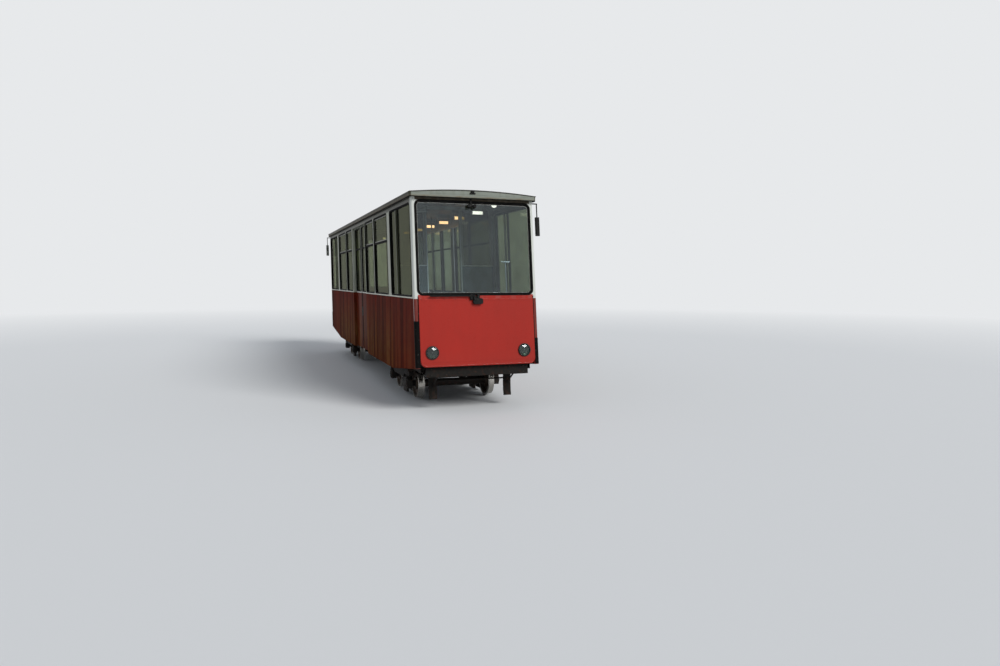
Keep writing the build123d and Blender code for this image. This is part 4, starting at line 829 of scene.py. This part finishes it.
# Partitions: boards over the lower part of the lights, on the cab side, with a bright edge
BOARD_FOOT, BOARD_TOP, EDGE_TOP = 1.45, 2.72, 3.9
BOARD_X, EDGE_X = (0.375, 1.115), (0.365, 0.392)
boards, edges = shapes(2)
for station, way in ((-CAB_DECK, -1), (CAB_DECK + 0.04, 1)):

    def flat_face(a, b, h, station=station, way=way):
        return Vector((a, y_at(station, b) + way * h, b))

    for side in SIDES:
        x0, x1 = span(side, *BOARD_X)
        boards.plate(rectangle(x0, x1, BOARD_FOOT, BOARD_TOP), 0.02, 0.0005, 0.012, flat_face, 0.003, 3)
        ledge = rectangle(x0, x1, BOARD_TOP + 0.004, BOARD_TOP + 0.024)
        edges.plate(ledge, 0.004, 0.0005, 0.016, flat_face, 0.003, 2)
        x0, x1 = span(side, *EDGE_X)
        edges.plate(rectangle(x0, x1, BOARD_FOOT, EDGE_TOP), 0.004, 0.0125, 0.020, flat_face, 0.003, 2)
boards.done("partition_boards", "desk_laminate", DESK)
edges.done("partition_edges", "aluminium", ALUMINIUM)

# Doors: window rubbers, transom, closing rubbers, strips and pulls. Heights count from a leaf's middle, and
# boxes are (from, to, foot, top), with stations from the car's middle.
LEAF_GLASS, LEAF_FACE = 0.0046, 0.0202
LEAF_RUBBER = [(0.006, 0.02), (0.006, 0.0222), (-0.008, 0.0226), (-0.024, 0.012), (-0.026, LEAF_GLASS),
               (-0.001, LEAF_GLASS), (-0.001, 0.02)]
LEAF_LIGHT, LEAF_TRANSOM = (0.11, 0.975, SILL, 3.82), (0.132, 0.953, *TRANSOM)
CLOSING_RUBBER, PULL = (0.004, 0.030, 0.625, 3.865), (0.038, 0.095, 1.48, 1.72)
RAIL_INSIDE, BELT_STRIP = (0.05, 1.04, 1.20, 1.38), (0.04, 1.045, 2.086, 2.112)


def on_leaf(end, box):
    s0, s1, z0, z1 = box
    return rectangle(end * s0, end * s1, z0, z1)


for name, side, end in (("left_lower", -1, -1), ("left_upper", -1, 1), ("right_lower", 1, -1), ("right_upper", 1, 1)):
    body = "door_" + name
    place = side_map(side, LEAF_X)
    seal, strip, pull = shapes(3)
    for face in SIDES:
        section = [(grow, face * h) for grow, h in LEAF_RUBBER]
        seal.ring(on_leaf(end, LEAF_LIGHT), LIGHT_CORNER, section, place, 5)
        seal.plate(on_leaf(end, LEAF_TRANSOM), 0.002, *span(face, LEAF_GLASS, 0.0185), place, 0.002, 1)
        seal.plate(on_leaf(end, CLOSING_RUBBER), 0.004, *span(face, LEAF_FACE, 0.0255), place, 0.0015, 2)
        low, high = span(face, LEAF_FACE, 0.0220)
        if face < 0:
            strip.plate(on_leaf(end, RAIL_INSIDE), 0.01, low, high, place, 0.0006, 2)
        strip.plate(on_leaf(end, BELT_STRIP), 0.004, low, high, place, 0.0006, 2)
        pull.plate(on_leaf(end, PULL), 0.012, low, high, place, 0.0006, 3)
    seal.done("door_seals_" + name, "black_plastic", RUBBER, body)
    strip.done("door_strips_" + name, "aluminium", ALUMINIUM, body)
    pull.done("door_pulls_" + name, "black_plastic", PLASTIC, body)

# Bogies: coil springs, spring seats, axlebox bolts, brake shoes with hangers
COIL_FOOT, COIL_RISE, COIL_RADIUS, COIL_TURNS, COIL_STEPS = 0.4045, 0.066, 0.060, 3.2, 64
SEAT_HEIGHTS = 0.875   # of a lower seat's point and its mirror image, added
LOWER_SEAT = [(0.078, 0.3952), (0.078, 0.400), (0.072, 0.403), (0.046, 0.403), (0.046, 0.3952)]
UPPER_SEAT = [(r, SEAT_HEIGHTS - z) for r, z in LOWER_SEAT[::-1]]
BOX_X, BOX_BOLTS_OUT = 1.004, 0.064
BOX_CAP = [(0.040, 0.0002), (0.040, 0.006), (0.030, 0.010), (0.0, 0.010)]
BOX_BOLT = [(0.010, 0.0002), (0.010, 0.008), (0.0, 0.0095)]
TREAD_X, HANGER_OUT, PIN_OUT, PIN_Z = 0.755, 0.375, 0.372, 0.35
HANGER_TOP, HANGER_BAR_X, ROD_OUT = 0.515, 0.892, 0.392
SHOE = ((-0.042, 0.3075), (0.042, 0.3055), (0.042, 0.345), (0.025, 0.352), (-0.025, 0.352), (-0.042, 0.345))
for name, centre in (("lower", -BOGIE_Y), ("upper", BOGIE_Y)):
    body = "bogie_" + name
    springs, seats, bolts, shoes, hangers = shapes(5)
    for side in SIDES:
        for axle in (-AXLE_OUT, AXLE_OUT):
            y = centre + axle
            coil = []
            for i in range(COIL_STEPS + 1):
                t = 2 * math.pi * COIL_TURNS * i / COIL_STEPS
                z = COIL_FOOT + COIL_RISE * i / COIL_STEPS
                coil.append((side * BEAM_X + COIL_RADIUS * math.cos(t), y + COIL_RADIUS * math.sin(t), z))
            springs.sweep(coil, circle(0.0085, 8))
            for seat in (LOWER_SEAT, UPPER_SEAT):
                seats.lathe(seat, xy_map(y, 0), side * BEAM_X, 0, 24)

            def box_face(a, b, h, side=side, y=y):
                return Vector((side * (BOX_X + h), y + a, WHEEL_R + b))

            bolts.lathe(BOX_CAP, box_face, 0, 0, 20)
            for a, b in circle(BOX_BOLTS_OUT, 6):
                bolts.lathe(BOX_BOLT, box_face, a, b, 6)
            # A shoe faces the tread on the side of the bogie's middle
            way = -1 if axle > 0 else 1
            x = side * TREAD_X
            shoes.loops([[Vector((x + across, y + way * r * math.cos(t), WHEEL_R + r * math.sin(t)))
                          for across, r in SHOE] for t in [math.radians(-20 + 5 * i) for i in range(9)]])
            hanger_y = y + way * HANGER_OUT
            pin_y = y + way * PIN_OUT
            hangers.sweep([(x, y + way * 0.352, 0.30), (x, pin_y, 0.34), (x, hanger_y, 0.52)],
                          flat(0.05, 0.016), up=(1, 0, 0))
            hangers.sweep([(x - side * 0.02, hanger_y, HANGER_TOP), (side * HANGER_BAR_X, hanger_y, HANGER_TOP)],
                          circle(0.016, 12))
            hangers.sweep([(x - side * 0.03, pin_y, PIN_Z), (x + side * 0.03, pin_y, PIN_Z)], circle(0.014, 12))
    for way in SIDES:
        rod_y = centre + way * (AXLE_OUT - ROD_OUT)
        hangers.sweep([(-TREAD_X, rod_y, PIN_Z), (TREAD_X, rod_y, PIN_Z)], circle(0.02, 12))
    springs.done("axle_springs_" + name, "frame_black", FRAME_BLACK, body)
    seats.done("spring_seats_" + name, "cast_steel", CAST, body)
    bolts.done("axlebox_bolts_" + name, "cast_steel", CAST, body)
    shoes.done("brake_shoes_" + name, "cast_steel", CAST, body)
    hangers.done("brake_hangers_" + name, "frame_black", FRAME_BLACK, body)

# Rail guards on arms from the headstocks, bolts on the headstocks
GUARD_Y, GUARD_X, HEADSTOCK_BACK = 5.75, 0.7535, 6.172
TIE_X, TIE_Z = 0.70, 0.50
HEAD_BOLT = [(0.014, 0.0002), (0.014, 0.010), (0.0, 0.012)]
HEAD_BOLT_XS, HEAD_BOLT_ZS = (-0.9, -0.62, 0.62, 0.9), (0.68, 0.79)
guards, head_bolts = shapes(2)
for end in ENDS:
    y0, back = end * GUARD_Y, y_at(end * HEADSTOCK_BACK, 0.66)
    for side in SIDES:
        x = side * GUARD_X
        guards.sweep([(x, y0, 0.685), (x, y0, 0.42), (x, y0 + end * 0.010, 0.28), (x, y0 + end * 0.035, 0.16)],
                     flat(0.16, 0.016, 0.004), up=(0, 1, 0))
        guards.sweep([(x, back, 0.665), (x, y0 - end * 0.006, 0.665)], flat(0.05, 0.05, 0.005))
        guards.sweep([(x, back - end * 0.03, 0.65), (x, y0 + end * 0.008, 0.40)], flat(0.03, 0.014, 0.003))
    guards.sweep([(x, y0 - end * 0.02, TIE_Z) for x in (-TIE_X, TIE_X)], circle(0.016, 12))
    face = end_map(end, HALF - 0.1)
    for x in HEAD_BOLT_XS:
        for z in HEAD_BOLT_ZS:
            head_bolts.lathe(HEAD_BOLT, face, x, z, 6)
guards.done("rail_guards", "frame_black", FRAME_BLACK)
head_bolts.done("headstock_bolts", "cast_steel", CAST)

# Camera, fitted to the photograph: focal length in pixels of its frame, place and turns
PHOTO_WIDTH, SENSOR, CLIP_END = 1000, 36.0, 400
FOCAL, YAW, PITCH, ROLL = 700.189, math.radians(20.04038), math.radians(4.2823), math.radians(0.08261)
EYE_X, EYE_OUT, EYE_Z = -4.08495, 12.43747, 2.41369
camera_data = bpy.data.cameras.new("camera")
camera = add("camera", camera_data)
bpy.context.scene.camera = camera
ahead = Vector((math.sin(YAW) * math.cos(PITCH), math.cos(YAW) * math.cos(PITCH), -math.sin(PITCH)))
right = Vector((math.cos(YAW), -math.sin(YAW), 0))
over = right.cross(ahead)
right, over = math.cos(ROLL) * right + math.sin(ROLL) * over, -math.sin(ROLL) * right + math.cos(ROLL) * over
turned = Matrix((right, over, -ahead)).transposed().to_4x4()
camera.matrix_world = Matrix.Translation((EYE_X, y_at(-HALF, 2.0) - EYE_OUT, EYE_Z)) @ turned
camera_data.sensor_width = SENSOR
camera_data.lens = FOCAL / PHOTO_WIDTH * SENSOR
camera_data.clip_end = CLIP_END

# Floor, which fades into the backdrop far out, and a soft sun
BACKDROP, FLOOR_GREY = (0.80, 0.815, 0.83, 1), (0.72, 0.735, 0.75, 1)
FLOOR_EDGE, FADE_FROM, FADE_TO = 150.0, 16.0, 45.0
floor_mesh = bpy.data.meshes.new("floor")
corners = rectangle(-FLOOR_EDGE, FLOOR_EDGE, -FLOOR_EDGE, FLOOR_EDGE)
floor_mesh.from_pydata([(x, y, FLOOR_LOW) for x, y in corners], [], [(0, 1, 2, 3)])
floor = add("floor", floor_mesh)
k = Look("floor")
reach = k.node("ShaderNodeVectorMath", {0: k.place}, operation="LENGTH").outputs["Value"]
lit = k.shader(FLOOR_GREY, 0.75)
glow = k.node("ShaderNodeEmission", {"Color": BACKDROP, "Strength": 1.0}).outputs[0]
fade = k.node("ShaderNodeMixShader", {0: k.ramp(reach, FADE_FROM, FADE_TO), 1: lit, 2: glow})
floor_mesh.materials.append(k.finish(fade.outputs[0]))

SUN_WAY = Vector((-0.42, 0.80, -0.62))
sun_data = bpy.data.lights.new("sun", "SUN")
sun_data.energy = 2.55
sun_data.angle = math.radians(28)
sun_data.color = (1.0, 0.985, 0.96)
sun = add("sun", sun_data)
sun.rotation_euler = SUN_WAY.to_track_quat("-Z", "Y").to_euler()

# World: the backdrop for what is seen, straight, through glass or mirrored, and a soft sky for the light
SKY, SKY_STRENGTH = (0.80, 0.85, 0.92, 1), 0.43
world = bpy.data.worlds.new("world")
bpy.context.scene.world = world
world.use_nodes = True
tree = world.node_tree
tree.nodes.clear()
rays = tree.nodes.new("ShaderNodeLightPath").outputs
seen = rays["Is Camera Ray"]
for kind in ("Is Transmission Ray", "Is Glossy Ray"):
    either = tree.nodes.new("ShaderNodeMath")
    either.operation = "MAXIMUM"
    tree.links.new(seen, either.inputs[0])
    tree.links.new(rays[kind], either.inputs[1])
    seen = either.outputs[0]
blend = tree.nodes.new("ShaderNodeMixShader")
tree.links.new(seen, blend.inputs[0])
for socket, colour, strength in ((1, SKY, SKY_STRENGTH), (2, BACKDROP, 1.0)):
    background = tree.nodes.new("ShaderNodeBackground")
    background.inputs[0].default_value = colour
    background.inputs[1].default_value = strength
    tree.links.new(background.outputs[0], blend.inputs[socket])
tree.links.new(blend.outputs[0], tree.nodes.new("ShaderNodeOutputWorld").inputs[0])
bpy.context.scene.view_settings.view_transform = "Standard"
